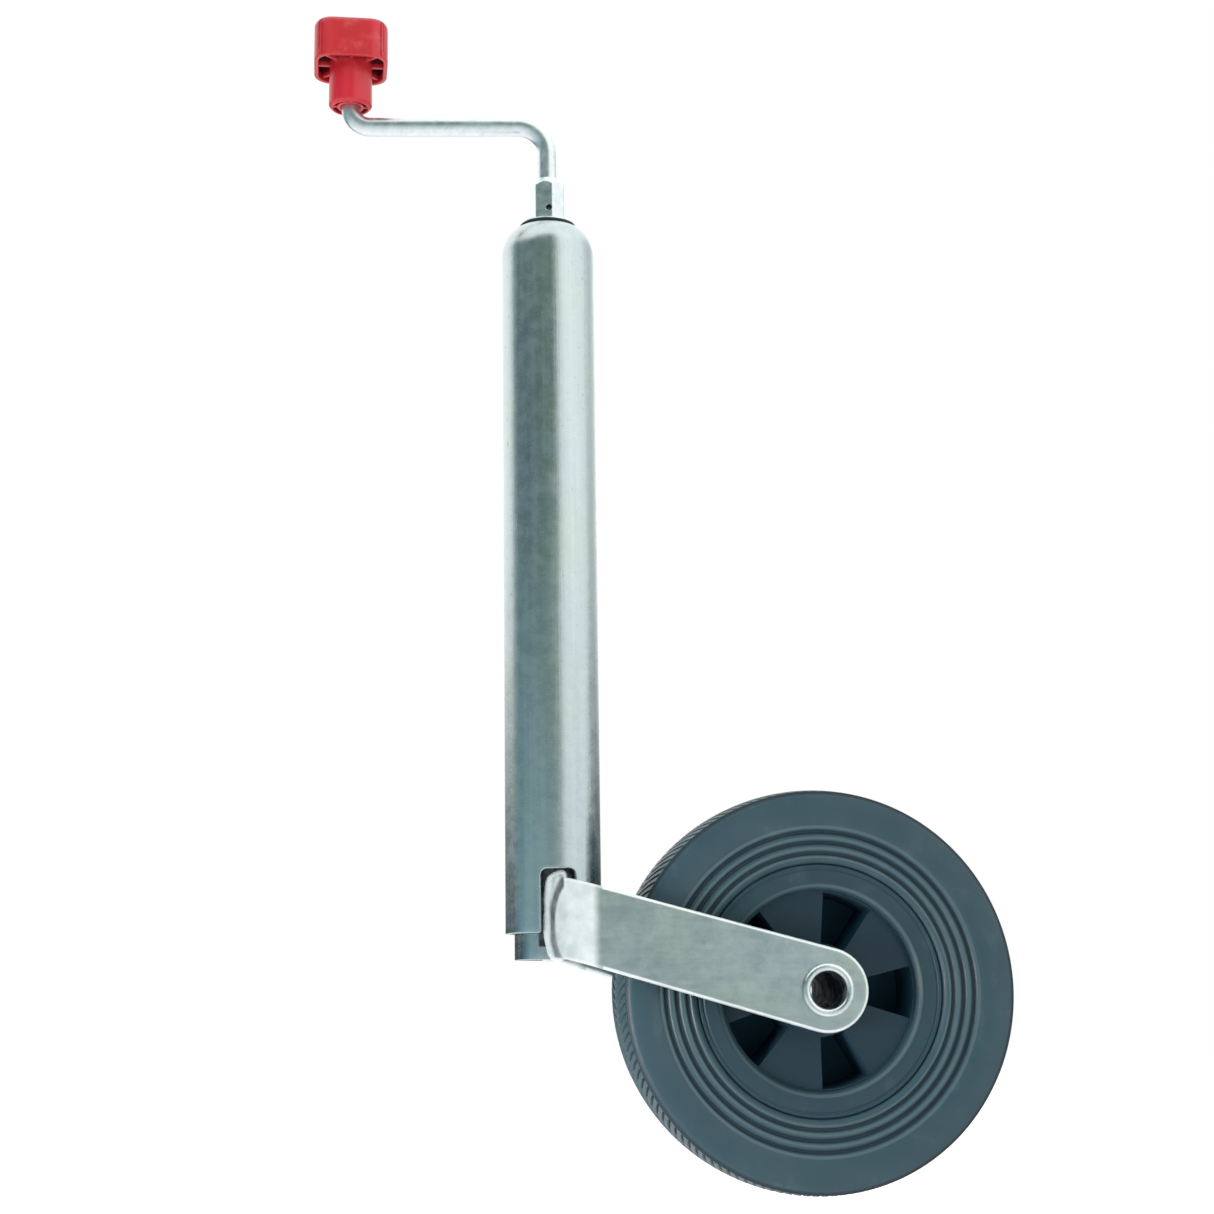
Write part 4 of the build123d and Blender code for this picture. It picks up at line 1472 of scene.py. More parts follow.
@dataclass
class Grip:
    """The turning grip: a rounded block, hollow and ribbed underneath, on a neck.

    Attributes:
        wall: Thickness of the block's wall.
        corner: Radius of the block's upright corners.
        rounding: Rounding of the edge round its top.
        block_up: Height of the block's underside.
        roof: Thickness of its top.
        neck: Radius of the neck.
        rib: Thickness of the ribs.
        pocket: Inner and outer radius of the ring-shaped hollow in the neck.
        pocket_depth: Depth of that hollow.
    """

    wall: float = 2.4
    corner: float = 10.0
    rounding: float = 4.0
    block_up: float = 460.0
    roof: float = 4.5
    neck: float = 11.5
    rib: float = 2.2
    pocket: tuple[float, float] = (7.2, 9.2)
    pocket_depth: float = 9.0

    def __post_init__(self) -> None:
        """Read the block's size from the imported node."""
        self.low, self.high = node_box("grip")
        self.shaft = Shaft(np.array([GRIP[0], GRIP[1], 0.0]), UPRIGHT.along, UPRIGHT.across)

    def _ring(self, inset: np.ndarray, share: np.ndarray) -> np.ndarray:
        """Rounded rectangles about the grip's axis.

        Args:
            inset: How far inside the block's outline each one lies.
            share: The share that each one is then shrunk to.

        Returns:
            Their X and Y, as rings by points by 2.
        """
        half = (self.high[:2] - self.low[:2]) / 2
        steps = 14
        turn = np.radians(
            np.concatenate([np.linspace(0, 90, steps) + 90 * quarter for quarter in range(4)])
        )
        sign = np.repeat(np.array([[1, 1], [-1, 1], [-1, -1], [1, -1]]), steps, axis=0)
        corner = np.maximum(self.corner - inset, 0.6)[:, None, None]
        core = (half - inset[:, None])[:, None] - corner
        ring = sign[None] * core + corner * np.stack([np.cos(turn), np.sin(turn)], axis=-1)[None]
        return ring * share[:, None, None]

    def _block(self) -> Surface:
        """The block: outer wall, slightly crowned top and inner wall, as (inset, share, Z) rows.

        Returns:
            The block's surface.
        """
        bottom, top = up(self.block_up), self.high[2]
        roof = top - self.roof
        corner = arc((self.rounding, top - 0.25 - self.rounding), self.rounding, 180, 90, 10)
        wall = rounded(np.array([
            (self.wall, roof), (self.wall, bottom), (0.0, bottom), (0.0, corner[0, 1]),
        ]), np.array([0.0, 0.9, 0.9, 0.0]), 6, closed=False)
        crown = np.linspace(1, 0, 9)[1:]
        inset = np.concatenate(
            [np.full(5, self.wall), wall[6:, 0], corner[1:, 0], np.full(8, self.rounding)]
        )
        height = np.concatenate([np.full(5, roof), wall[6:, 1], corner[1:, 1], top - 0.25 * crown**2])
        share = np.concatenate([np.linspace(0, 1, 5), np.ones(len(wall) - 6 + 9), crown])
        ring = self._ring(inset, share)
        tall = np.broadcast_to(height[:, None, None], ring.shape[:2] + (1,))
        return Surface.from_grid(
            np.concatenate([ring, tall], axis=-1) + self.shaft.origin, wrap_columns=True
        )

    def _bar(self, angle: float, near: float, far: float, low: float, high: float) -> Surface:
        """A rib from near to far along one direction from the axis, with its lower edges rounded.

        Args:
            angle: The direction, in radians.
            near: Where the rib starts.
            far: Where it ends.
            low: Z of its lower edge.
            high: Z of its upper edge.

        Returns:
            The rib's surface.
        """
        half = self.rib / 2
        corners = np.array([(-half, high), (-half * 0.86, low), (half * 0.86, low), (half, high)])
        section = rounded(corners, np.array([0.0, 0.7, 0.7, 0.0]), 5)
        way = np.array([math.cos(angle), math.sin(angle), 0.0])
        path = self.shaft.origin + np.array([[near], [far]]) * way
        first = np.broadcast_to(np.array([-way[1], way[0], 0.0]), path.shape)
        second = np.broadcast_to(UPRIGHT.along, path.shape)
        return swept(section, path, first, second)

    def build(self) -> None:
        """Make the block, its eight ribs, the neck and the four small ribs in it, as one piece."""
        bottom, roof = self.low[2], self.high[2] - self.roof
        inner, outer = self.pocket
        floor = bottom + self.pocket_depth
        corners = [
            (roof + 1, self.neck - 0.3), (up(self.block_up), self.neck - 0.1), (bottom + 1.5, self.neck),
            (bottom, self.neck - 1.4), (bottom, outer), (floor, outer - 0.3), (floor, inner + 0.3),
            (bottom + 0.4, inner), (bottom + 0.4, 5.25), (roof + 1, 5.25),
        ]
        surface = self._block() + self.shaft.turned(rounded(np.array(corners), 0.5, 4), circle_angles(72))
        reach = (self.high[0] - self.low[0]) / 2
        for number in range(8):
            length = reach - 1.4 if number % 2 == 0 else reach * 1.21
            surface = surface + self._bar(
                number * math.pi / 4, 8.0, length, up(self.block_up + 1.5), roof + 0.6
            )
        for number in range(4):
            surface = surface + self._bar(
                number * math.pi / 2, inner - 0.6, outer + 0.8, bottom + 0.5, floor + 0.6
            )
        self.moulding = make_piece("grip_moulding", surface, "grip", ("grip",), 40.0)

    def dress(self) -> None:
        """Give the grip its red plastic, with painted shade in its hollows."""
        put_on(self.moulding, RED_GRIP.material())


# ---------------------------------------------------------------- fork


@dataclass
class Fork:
    """The U-shaped strap, its welds and the hollow axle.

    Attributes:
        thickness: The strap's thickness.
        back: X of its back face.
        bend: Outer radius of its two bends.
        half_width: Half the width over its arms.
        eye: Radius of its rounded ends.
        hole: Radius of the axle's holes.
        edge: Rounding of the rolled bar's edges.
        top_up: Height of its upper edge at the back.
        bottom_up: Height of its lower edge there.
    """

    thickness: float = 5.0
    back: float = -3.5
    bend: float = 19.0
    half_width: float = 36.0
    eye: float = 20.7
    hole: float = 10.5
    edge: float = 1.9
    top_up: float = 28.0
    bottom_up: float = -11.1

    def _line(self, corner_up: float, upper: bool) -> tuple[np.ndarray, float, float]:
        """One long edge of the strap's side view.

        Args:
            corner_up: Height of the edge at the back.
            upper: Whether it is the upper edge.

        Returns:
            The edge's corner at the back, its slope, and the angle where it meets the eye's circle.
        """
        corner = np.array([self.back + 0.5, up(corner_up)])
        way = np.array([AXLE[0], AXLE[2]]) - corner
        sign = 1 if upper else -1
        lean = math.atan2(way[1], way[0]) + sign * math.asin(self.eye / np.linalg.norm(way))
        return corner, math.tan(lean), lean + sign * math.pi / 2

    def _bent(self, grid: np.ndarray) -> np.ndarray:
        """Bend a developed strap, (length, Z, offset), to the -Y half of the U.

        The length runs from the back's middle, round a bend of constant radius, along the arm.

        Args:
            grid: The developed strap's points.

        Returns:
            The bent strap's points.
        """
        radius = self.bend - self.thickness / 2
        straight = self.half_width - self.bend
        length, height, offset = grid[..., 0], grid[..., 1], grid[..., 2]
        turn = np.clip((length - straight) / radius, 0, math.pi / 2)
        beyond = np.maximum(length - straight - radius * math.pi / 2, 0)
        x = self.back + self.bend - (radius + offset) * np.cos(turn) + beyond
        y = -np.minimum(length, straight) - (radius + offset) * np.sin(turn)
        return np.stack([x, y, height], axis=-1)

    def _half(self, upper: bool) -> Surface:
        """The upper or lower half of the -Y half of the strap.

        Args:
            upper: Whether it is the upper half.

        Returns:
            The half's surface.
        """
        radius = self.bend - self.thickness / 2
        straight = self.half_width - self.bend
        bend_end = straight + radius * math.pi / 2
        eye_length = bend_end + AXLE[0] - (self.back + self.bend)
        corner, slope, touch = self._line(self.top_up if upper else self.bottom_up, upper)

        def side_x(length: np.ndarray) -> np.ndarray:
            """X of the strap's middle line.

            Args:
                length: Lengths along the strap.

            Returns:
                A value for each length.
            """
            turn = np.clip((length - straight) / radius, 0, math.pi / 2)
            return self.back + self.bend - radius * np.cos(turn) + np.maximum(length - bend_end, 0)

        def edge_height(length: np.ndarray) -> np.ndarray:
            """Z of the half's long edge.

            Args:
                length: Lengths along the strap.

            Returns:
                A value for each length.
            """
            return corner[1] + slope * np.maximum(side_x(length) - corner[0], 0)

        def middle_height(length: np.ndarray) -> np.ndarray:
            """Z of the line between the two halves.

            Args:
                length: Lengths along the strap.

            Returns:
                A value for each length.
            """
            middle = up((self.top_up + self.bottom_up) / 2)
            return np.interp(length, [straight, eye_length - self.hole], [middle, AXLE[2]])

        count = 26
        sign = 1 if upper else -1
        turn = np.linspace(0, touch, count)
        arc_edge = np.stack(
            [eye_length + self.eye * np.cos(turn), AXLE[2] + self.eye * np.sin(turn)], axis=-1
        )
        line_length = np.linspace(arc_edge[-1, 0], eye_length - self.hole, count)[1:]
        strip = np.concatenate([
            np.linspace(eye_length - self.hole, bend_end, 26)[1:], np.linspace(bend_end, straight, 22)[1:],
            np.linspace(straight, 0, 6)[1:],
        ])
        lengths = np.concatenate([line_length, strip])
        edge = np.concatenate([arc_edge, np.stack([lengths, edge_height(lengths)], axis=-1)])
        hole_turn = np.concatenate([turn, np.linspace(touch, sign * math.pi, count)[1:]])
        ring = np.stack([
            eye_length + self.hole * np.cos(hole_turn), AXLE[2] + self.hole * np.sin(hole_turn)
        ], axis=-1)
        target = np.concatenate([ring, np.stack([strip, middle_height(strip)], axis=-1)])
        grid = rounded_sheet(edge, target, self.thickness / 2, self.edge, 7, 7, (-1.0, 0.0))
        points = self._bent(grid)
        holed = len(ring)
        return Surface.from_grid(
            points[:, :holed], wrap_rows=True
        ) + Surface.from_grid(points[:, holed - 1:])

    def _strap(self) -> bpy.types.Object:
        """Join the strap's quarters.

        Returns:
            The piece.
        """
        half = self._half(True) + self._half(False)
        return make_piece(
            "fork_bent_strap", half + half.mirrored(1), "leg", ("fork_strap",), 48.0
        )

    def _welds(self) -> bpy.types.Object:
        """Make the beads: a rope of weld round the strap where it leaves the leg, with overlapping ripples.

        The bead's line is a rounded oblong round the strap, bowed out on the side away from the wheel,
        laid on the leg's surface. Its radius swells and falls once for each ripple, and its crown wanders
        a little.

        Returns:
            The piece.
        """
        low, high = node_box("weld_beads")
        leg = node_box("inner_tube")[1][0]
        bottom, top = low[2] + 1.9, high[2] - 1.9
        left, right = low[0] + 1.7, high[0] - 1.7
        middle = (bottom + top) / 2
        corners = np.array([
            (right, bottom), (right, top), (0.6, top + 0.2), (-3.4, top - 1.4), (left, top - 10.5),
            (left - 0.3, middle - 4), (left + 0.1, bottom + 6.5), (-2.6, bottom),
        ])
        outline = rounded(corners, 5.0, 12)
        outline = np.concatenate([outline, outline[:1]])
        walked = np.concatenate([[0], np.cumsum(np.linalg.norm(np.diff(outline, axis=0), axis=1))])
        count = 300
        even = np.linspace(0, walked[-1], count, endpoint=False)
        x = np.interp(even, walked, outline[:, 0])
        z = np.interp(even, walked, outline[:, 1])
        ripple = even / walked[-1] * 2 * math.pi
        swell = 0.14 * np.sin(5 * ripple + 1.2)
        size = 1.85 + 0.04 * np.sin(34 * ripple) + swell + 0.07 * np.sin(11 * ripple)
        path = np.stack([x, -np.sqrt(leg**2 - x**2) + 0.25, z + 0.2 * np.sin(9 * ripple)], axis=-1)
        tangent = np.roll(path, -1, axis=0) - np.roll(path, 1, axis=0)
        tangent /= np.linalg.norm(tangent, axis=1)[:, None]
        out = np.stack([x, path[:, 1], np.zeros(count)], axis=-1)
        out /= np.linalg.norm(out, axis=1)[:, None]
        side = np.cross(tangent, out)
        side /= np.linalg.norm(side, axis=1)[:, None]
        lift = np.cross(side, tangent)
        turn = circle_angles(20)
        circle = np.stack([1.12 * np.cos(turn), 0.92 * np.sin(turn)], axis=-1)
        surface = swept(circle[None] * size[:, None, None], path, side, lift, loop=True)
        return make_piece(
            "weld_ripples", surface + surface.mirrored(1), "leg", ("weld_beads",), 60.0
        )

    def _axle(self) -> bpy.types.Object:
        """Make the hollow axle, with its ends rolled over the strap.

        Returns:
            The piece.
        """
        low, high = node_box("axle_tube")
        bore = 9.0
        lip_outer = (high[0] - low[0]) / 2
        face = self.half_width
        height = high[1] - face
        turn = np.linspace(0, math.pi, 16)
        middle, half = (bore + lip_outer) / 2, (lip_outer - bore) / 2
        lip = np.stack([face + height * np.sin(turn) ** 0.8, middle - half * np.cos(turn)], axis=-1)
        under = np.array(
            [(face + 0.02, lip_outer), (face - 0.05, self.hole - 0.05), (0.0, self.hole - 0.05)]
        )
        profile = np.concatenate([np.array([(0.0, bore), (face - 2.0, bore)]), lip, under])
        half_surface = WHEEL_SHAFT.turned(profile, circle_angles(96), closed=False)
        surface = half_surface + half_surface.mirrored(1)
        return make_piece("axle_rolled_tube", surface, "leg", ("axle_tube",), 40.0)

    def build(self) -> None:
        """Make the strap, the welds and the axle."""
        self.strap = self._strap()
        self.welds = self._welds()
        self.axle = self._axle()

    def dress(self) -> None:
        """Give the bar its zinc, with painted highlights on its bends and edges and painted shade by the
        weld, the welds a pale zinc that is a painted highlight, and the axle its zinc, with painted shade in
        its bore.
        """
        put_on(self.strap, ZINC_BAR.material())
        put_on(self.welds, ZINC_WELD.material())
        put_on(self.axle, ZINC_AXLE.material())


# ---------------------------------------------------------------- wheel


@dataclass
class Rim:
    """The moulded rim, with deep pockets from both sides.

    Attributes:
        bore: Radius of the bush in its hub.
        hub: The hub's radius.
        hub_half: Half the hub's length.
        disc: Radius of the disc with the pockets.
        disc_half: Half its thickness.
        flange: Half the rim's width.
        outer: The flanges' radius.
        seat: Radius that the tyre sits on.
        pockets: How many pockets each side has.
        first: Angle of the first one, in degrees.
        widths: Width of the outer and the inner side's pockets, in degrees.
        depth: Depth of the pockets.
        pocket_radii: Radii of the pockets' inner and outer wall.
    """

    bore: float = 12.6
    hub: float = 20.0
    hub_half: float = 29.0
    disc: float = 48.5
    disc_half: float = 16.0
    flange: float = 21.5
    outer: float = 62.3
    seat: float = 58.0
    pockets: int = 5
    first: float = 70.0
    widths: tuple[float, float] = (30.0, 34.0)
    depth: float = 29.0
    pocket_radii: tuple[float, float] = (23.2, 48.1)

    def _middles(self, side: int) -> np.ndarray:
        """Angles of the pockets' middles on one side, in degrees.

        Args:
            side: 1 for the outer side and -1 for the inner one.

        Returns:
            The angles.
        """
        pitch = 360 / self.pockets
        return self.first + pitch * (np.arange(self.pockets) + (0 if side > 0 else 0.5))

    def _angles(self) -> np.ndarray:
        """Angles round the wheel, close together at the pockets' walls.

        Returns:
            The angles, in radians.
        """
        near = np.array([-1.0, -0.62, -0.46, -0.3, -0.15, 0, 0.15, 0.3, 0.46, 0.62, 1.0])
        edges = [
            self._middles(side) + way * width / 2
            for side, width in zip((1, -1), self.widths) for way in (-1, 1)
        ]
        walls = (np.concatenate(edges)[:, None] + near).ravel()
        return np.radians(
            np.unique(np.round(np.mod(np.concatenate([walls, np.arange(0, 360, 2.4)]), 360), 3))
        )

    def _side(self) -> np.ndarray:
        """One side's profile from the bore to the tyre's seat, as (along, radius).

        Returns:
            The profile's points.
        """
        near = np.array([-0.7, -0.4, -0.28, -0.16, -0.06, 0.06, 0.16, 0.28, 0.4, 0.7])
        inner, outer = self.pocket_radii
        radii = np.concatenate([inner + near, np.linspace(inner + 2, outer - 2, 9), outer + near[:-1]])
        disc = np.stack([np.full(len(radii), self.disc_half), radii], axis=-1)
        hub = rounded(np.array([
            (self.hub_half, self.bore), (self.hub_half, self.hub - 2.0), (self.hub_half - 2.0, self.hub),
            (self.disc_half, self.hub + 1.5), (self.disc_half, inner - 0.8),
        ]), np.array([0, 0.6, 0.6, 1.0, 0]), 5, closed=False)
        ring = rounded(np.array([
            (self.disc_half, outer + 0.65), (self.flange - 2.6, self.disc + 0.6),
            (self.flange - 0.6, self.disc + 3.2),
            (self.flange, self.disc + 4.4), (self.flange, self.outer - 3.4),
            (self.flange - 0.5, self.outer - 3.0),
            (self.flange - 0.5, self.outer - 2.4), (self.flange, self.outer - 2.0),
            (self.flange, self.outer - 0.8),
            (self.flange - 1.2, self.outer), (16.0, self.outer), (14.0, self.seat),
        ]), np.array([0, 0.7, 0.7, 0.8, 0.3, 0.3, 0.3, 0.3, 0.6, 0.6, 0.3, 0]), 4, closed=False)
        return np.concatenate([hub, disc, ring])

    def build(self) -> None:
        """Make the rim.

        A profile is turned round the axle. Where the radius and the angle lie inside a pocket, both by a
        smooth step across its wall, the disc's face is pushed in by the pocket's depth.
        """
        side = self._side()
        profile = np.concatenate([side, (side * np.array([-1, 1]))[::-1]])
        angles = self._angles()
        along = np.repeat(profile[:, :1], len(angles), axis=1)
        radius = profile[:, 1:]
        inner, outer = self.pocket_radii
        inside = ease((radius - inner) / 0.6 + 0.5) * ease((outer - radius) / 0.6 + 0.5)
        for facing, width in zip((1, -1), self.widths):
            away = np.mod(np.degrees(angles)[:, None] - self._middles(facing) + 180, 360) - 180
            near = np.abs(away).min(axis=1)
            within = ease((width / 2 - near) / 0.9 + 0.5)[None, :]
            face = (np.sign(profile[:, :1]) == facing) & (radius < self.disc)
            along = along - np.where(face, facing * self.depth * inside * within, 0)
        surface = Surface.from_grid(WHEEL_SHAFT.points(along, radius, angles[None, :]), True, True)
        self.moulding = make_piece("rim_moulding", surface, "wheel", ("wheel_rim",), 42.0)

    def dress(self) -> None:
        """Give the rim its black plastic, with painted shade on its disc and in its pockets and a painted
        highlight ring.
        """
        put_on(self.moulding, BLACK_RIM.material())


@dataclass
class Tyre:
    """The solid rubber tyre.

    Attributes:
        seat: Radius of its seat on the rim.
        edge: Radius where its sidewall meets the rim.
        radius: Its outer radius.
        half: Half its width.
        grooves: Radii of the ring grooves in its sidewalls.
        lugs: How many lugs its tread has.
        lug_depth: Depth of the grooves between them.
    """

    seat: float = 58.0
    edge: float = 62.3
    radius: float = 100.0
    half: float = 25.0
    grooves: tuple[float, ...] = (67.3, 72.6, 78.0)
    lugs: int = 132
    lug_depth: float = 1.3

    def _side(self) -> np.ndarray:
        """One side's profile from the seat to the shoulder, as (along, radius).

        Returns:
            The profile's points.
        """
        ridge, floor = 23.7, 22.0
        corners = [
            (0.0, self.seat), (14.0, self.seat), (16.0, self.edge), (21.2, self.edge + 0.05),
            (22.2, self.edge + 0.9)
        ]
        cuts = [0.0, 0.3, 0.3, 0.5, 0.6]
        for groove in self.grooves:
            corners += [
                (ridge, groove - 1.5), (floor, groove - 0.45), (floor, groove + 0.45), (ridge, groove + 1.5)
            ]
            cuts += [0.8, 0.4, 0.4, 0.8]
        corners += [
            (ridge, 81.0), (self.half - 0.7, 82.4), (self.half, 87.0), (self.half, 92.0),
            (self.half - 0.5, 95.6),
            (self.half - 1.3, 97.2), (self.half - 2.1, 97.3), (self.half - 2.3, 98.4),
        ]
        cuts += [0.6, 0.8, 2.0, 2.0, 1.0, 0.4, 0.3, 0.0]
        return rounded(np.array(corners), np.array(cuts), 3, closed=False)

    def build(self) -> None:
        """Make the tyre.

        Its profile is turned round the axle. The tread's radius falls towards the shoulders as a
        parabola, less the lugs' grooves, which run across it and slant from the middle to both shoulders.
        """
        side = self._side()
        shoulder = side[-1]
        width = np.linspace(shoulder[0], -shoulder[0], 23)[1:-1]
        share = np.abs(width) / shoulder[0]
        crown = self.radius - (self.radius - shoulder[1]) * share**2.6
        profile = np.concatenate(
            [side, np.stack([width, crown], axis=-1), (side * np.array([-1, 1]))[::-1][:-1]]
        )
        along, radius = profile[:, :1], profile[:, 1:]
        fractions = np.array([0.14, 0.24, 0.76, 0.86])  # of a lug's pitch: groove, lug, lug, groove
        cut = np.array([1.0, 0.0, 0.0, 1.0])
        pitch = 2 * math.pi / self.lugs
        angles = ((np.arange(self.lugs)[:, None] + fractions) * pitch).ravel()
        depth = np.tile(cut, self.lugs)[None, :] * self.lug_depth
        on_tread = (radius > shoulder[1] - 0.05) & (np.abs(along) <= shoulder[0] + 0.01)
        middle = ease((np.abs(along) - 1.2) / 1.2) * ease((shoulder[0] - 0.4 - np.abs(along)) / 1.6)
        slant = np.where(on_tread, (shoulder[0] - np.abs(along)) * 0.35 / self.radius, 0.0)
        low_radius = radius - np.where(on_tread, depth * middle, 0.0)
        points = WHEEL_SHAFT.points(along, low_radius, angles[None, :] + slant)
        surface = Surface.from_grid(points, True, True)
        self.rubber = make_piece("tyre_tread", surface, "wheel", ("tyre",), 50.0)

    def dress(self) -> None:
        """Give the tyre its rubber, with painted highlights on its ridges and painted shade in its grooves
        and at its shoulders.
        """
        put_on(self.rubber, RUBBER.material())


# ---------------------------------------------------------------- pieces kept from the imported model


class KeptPieces:
    """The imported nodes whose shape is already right, with their materials."""

    finishes = {
        GROUND_STEEL: (
            "upper_race", "lower_race", "bearing_balls", "spindle", "stop_washer", "stop_pin",
            "grip_retainer", "nut_pins",
        ),
        BLACK_STEEL: ("collar_pin",),
        BRONZE: ("spindle_nut",),
        NYLON: ("ball_cage", "guide_ring", "lower_guide_bush", "hub_bush"),
        ZINC_BRIGHT: ("axle_washers",),
    }

    def build(self) -> None:
        """Find the kept nodes."""
        self.nodes = {
            finish: {name: frame["nodes"][name] for name in names} for finish,
            names in self.finishes.items()
        }

    def dress(self) -> None:
        """Give each kept node its material."""
        for finish, nodes in self.nodes.items():
            material = finish.material()
            for name, node in nodes.items():
                put_on(node, material)
                LOG.info("%s: kept, with %s", name, finish.name)


# ---------------------------------------------------------------- studio


@dataclass(frozen=True)
class Lamp:
    """A soft rectangular lamp.

    Attributes:
        name: The lamp's name.
        place: Where it stands, in metres.
        aim: The point that it faces, in metres.
        size: Its width and height, in metres.
        power: Its power in watts.
        colour: Its colour.
        mirrored: Whether glossy surfaces show it.
        only: The pieces that it lights, where it doesn't light all.
    """

    name: str
    place: tuple[float, float, float]
    aim: tuple[float, float, float]
    size: tuple[float, float]
    power: float
    colour: tuple[float, float, float] = (1.0, 1.0, 1.0)
    mirrored: bool = True
    only: tuple[str, ...] = ()

    def build(self) -> None:
        """Make the lamp."""
        light = bpy.data.lights.new(self.name, "AREA")
        light.shape = "RECTANGLE"
        light.size, light.size_y = self.size
        light.energy = self.power
        light.color = self.colour
        made = bpy.data.objects.new(self.name, light)
        made.location = self.place
        made.rotation_euler = (Vector(self.aim) - Vector(self.place)).to_track_quat("-Z", "Y").to_euler()
        made.visible_glossy = self.mirrored
        made.visible_camera = False
        bpy.context.scene.collection.objects.link(made)
        if self.only:
            group = bpy.data.collections.new(f"lit_by_{self.name}")
            for name in self.only:
                group.objects.link(bpy.data.objects[name])
            made.light_linking.receiver_collection = group


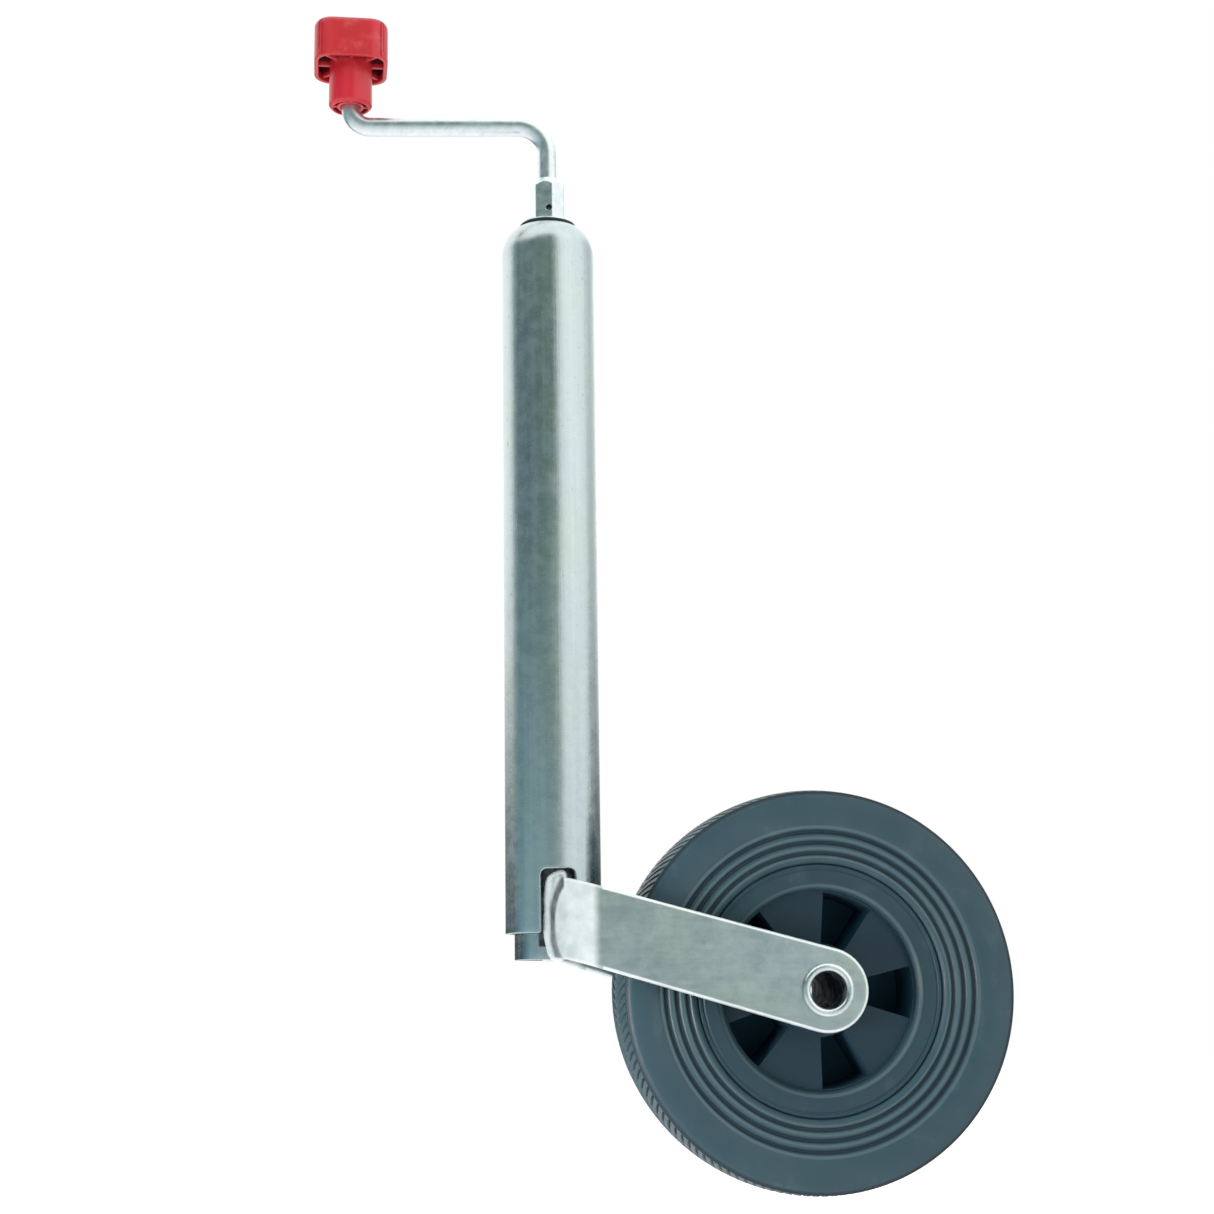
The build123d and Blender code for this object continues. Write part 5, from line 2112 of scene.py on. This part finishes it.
@dataclass
class Studio:
    """A pale floor, soft light from a world that is brighter on some sides, and the camera.

    Attributes:
        eye: The camera's place, in metres.
        yaw: Its direction, in degrees from +Y towards +X.
        pitch: Its rise, in degrees.
        roll: Its turn about its own axis, in degrees.
        lens: Its focal length, in millimetres on a sensor of 36.
        travel: How far the floor lies below the wheel, in millimetres.
        lamps: The lamps.
    """

    eye: tuple[float, float, float] = (-0.11507, -1.03129, -0.21502)
    yaw: float = 7.960
    pitch: float = 10.400
    roll: float = -0.784
    lens: float = 60.90
    travel: float = 200.0
    lamps: tuple[Lamp, ...] = (
        Lamp("key", (-0.9, -1.6, 1.1), (0.0, 0.0, 0.0), (1.2, 1.2), 12.0, mirrored=False),
        Lamp("fill", (0.9, -1.5, -0.1), (0.1, 0.0, -0.15), (1.0, 0.9), 3.5, mirrored=False),
        Lamp(
            "low", (-0.42, -0.22, -0.30), (0.1, 0.0, -0.24), (0.4, 0.12), 4.0,
            only=("tyre_tread", "rim_moulding")
        ),
    )

    def _floor(self) -> bpy.types.Object:
        """A wide pale disc, low enough for the wheel when the leg is run right out.

        Returns:
            The floor.
        """
        level = FLOOR_LEVEL - self.travel - 1.0
        profile = np.array([(level, 0.0), (level, 400.0), (level, 1500.0), (level, 6000.0)])
        surface = UPRIGHT.turned(profile, circle_angles(96), closed=False)
        mesh = bpy.data.meshes.new("floor")
        mesh.from_pydata((surface.points * MM).tolist(), [], surface.faces[0].tolist())
        floor = bpy.data.objects.new("floor", mesh)
        bpy.context.scene.collection.objects.link(floor)
        floor.visible_glossy = False
        return floor

    @staticmethod
    def _floor_paint() -> bpy.types.Material:
        """A pale matt paint that glows a little, so that the floor stays even.

        Returns:
            The material.
        """
        made = bpy.data.materials.new("pale_floor")
        made.use_nodes = True
        graph = Graph(made.node_tree)
        cloud = graph.noise(graph.places(), 3, 2)
        colour = graph.blend(cloud, (0.52, 0.52, 0.52), (0.48, 0.48, 0.48))
        inputs = {
            "Base Color": colour, "Roughness": 0.9, "Emission Color": (1.0, 1.0, 1.0),
            "Emission Strength": 0.8
        }
        shader = graph.node("ShaderNodeBsdfPrincipled", None, inputs)
        graph.node("ShaderNodeOutputMaterial", None, {"Surface": shader.outputs[0]})
        return made

    def _ramp(self, graph: Graph, place: Term, stops: list) -> bpy.types.NodeSocket:
        """Colours by compass place. A stop holds its angle right of the camera, in degrees, and a colour.

        Args:
            graph: The world's graph.
            place: The compass place, from 0 to 1.
            stops: The stops.

        Returns:
            The ramp's colour.
        """
        ramp = [(angle / 360 + 0.5, colour) for angle, colour in stops]
        return graph.node("ShaderNodeValToRGB", {"ramp": ramp}, {0: place}).outputs[0]

    def _world(self) -> None:
        """Make the world that the metal shows.

        Two rows of colours follow the compass, one well above the horizon and one at it: white behind at the
        left, a dark wall from the left to the camera, a bright wall at the right and a duller one behind it.
        Below the horizon everything turns pale, and overhead it is white behind and dark in front.
        """
        world = bpy.data.worlds.new("studio")
        world.use_nodes = True
        bpy.context.scene.world = world
        graph = Graph(world.node_tree)
        x, y, z = graph.axes(graph.node("ShaderNodeTexCoord").outputs["Generated"])
        lean = math.atan2(-self.eye[0], -self.eye[1])
        towards = y * -math.cos(lean) - x * math.sin(lean)
        right = x * math.cos(lean) - y * math.sin(lean)
        compass = right.math("ARCTAN2", towards) / (2 * math.pi) + 0.5
        white, dark, low_dark = (1.22, 1.26, 1.24), (0.165, 0.235, 0.185), (0.32, 0.50, 0.55)
        right_wall, back_wall = (1.22, 1.24, 1.22), (0.74, 0.78, 0.77)
        low_left, low_right, low_back = (0.9, 0.95, 0.95), (0.84, 0.92, 0.91), (0.03, 0.05, 0.04)
        high = self._ramp(graph, compass, [
            (-180, white), (-112, white), (-96, (0.30, 0.40, 0.40)), (-82, (0.12, 0.18, 0.20)),
            (-42, (0.13, 0.19, 0.19)), (10, dark), (16, (0.26, 0.33, 0.30)), (32, right_wall),
            (98, right_wall), (112, back_wall), (142, back_wall), (158, white), (180, white),
        ])
        low = self._ramp(graph, compass, [
            (-180, low_left), (-158, (0.04, 0.07, 0.08)), (-112, (0.02, 0.04, 0.05)),
            (-92, (0.14, 0.26, 0.30)), (-70, low_dark), (-10, (0.36, 0.50, 0.52)), (14, (0.34, 0.42, 0.40)),
            (34, low_right), (92, low_right), (106, low_back), (158, low_back), (180, low_left),
        ])
        colour = graph.blend(z.between(0.03, 0.20), low, high)
        colour = graph.blend(z.between(-0.10, -0.40), colour, (0.76, 0.80, 0.81))
        colour = graph.blend(z.between(-0.55, -0.95), colour, (1.1, 1.1, 1.1))
        below = z.between(-0.15, -0.5) * towards.between(0.1, -0.3)
        colour = graph.blend(below, colour, (1.15, 1.17, 1.17))
        overhead = z.between(0.45, 0.7) * towards.between(0.70, 0.58)
        colour = graph.blend(overhead, colour, (1.25, 1.28, 1.28))
        seen = graph.node("ShaderNodeLightPath").outputs["Is Camera Ray"]
        colour = graph.blend(Term(graph, seen), colour, (1.0, 1.0, 1.0))
        shader = graph.node("ShaderNodeBackground", None, {"Color": colour, "Strength": 1.0})
        graph.node("ShaderNodeOutputWorld", None, {"Surface": shader.outputs[0]})

    def _camera(self) -> None:
        """Stand the camera at the viewpoint."""
        yaw, pitch, roll = (math.radians(angle) for angle in (self.yaw, self.pitch, self.roll))
        forward = Vector(
            (math.sin(yaw) * math.cos(pitch), math.cos(yaw) * math.cos(pitch), math.sin(pitch))
        )
        level_right = Vector((math.cos(yaw), -math.sin(yaw), 0.0))
        level_up = level_right.cross(forward)
        right = level_right * math.cos(roll) + level_up * math.sin(roll)
        upward = level_up * math.cos(roll) - level_right * math.sin(roll)
        data = bpy.data.cameras.new("camera")
        data.lens = self.lens
        data.sensor_width = 36.0
        data.clip_start = 0.01
        camera = bpy.data.objects.new("camera", data)
        turn = Matrix((right, upward, -forward)).transposed().to_4x4()
        camera.matrix_world = Matrix.Translation(self.eye) @ turn
        bpy.context.scene.collection.objects.link(camera)
        bpy.context.scene.camera = camera

    def build(self) -> None:
        """Make the floor, the lamps and the camera."""
        bpy.context.scene.view_settings.view_transform = "Standard"
        self.floor = self._floor()
        for lamp in self.lamps:
            lamp.build()
        self._camera()

    def dress(self) -> None:
        """Paint the floor and make the world that the metal shows."""
        put_on(self.floor, self._floor_paint())
        self._world()


# ---------------------------------------------------------------- all of it


def main() -> None:
    """Build and dress every sub-assembly, and last the studio, whose low lamp names two pieces."""
    logging.basicConfig(level=logging.INFO, format="%(message)s")
    for part in (KeptPieces(), OuterTube(), Leg(), Crank(), Grip(), Fork(), Rim(), Tyre(), Studio()):
        LOG.info("building %s", type(part).__name__)
        part.build()
        part.dress()


if __name__ == "__main__":
    main()
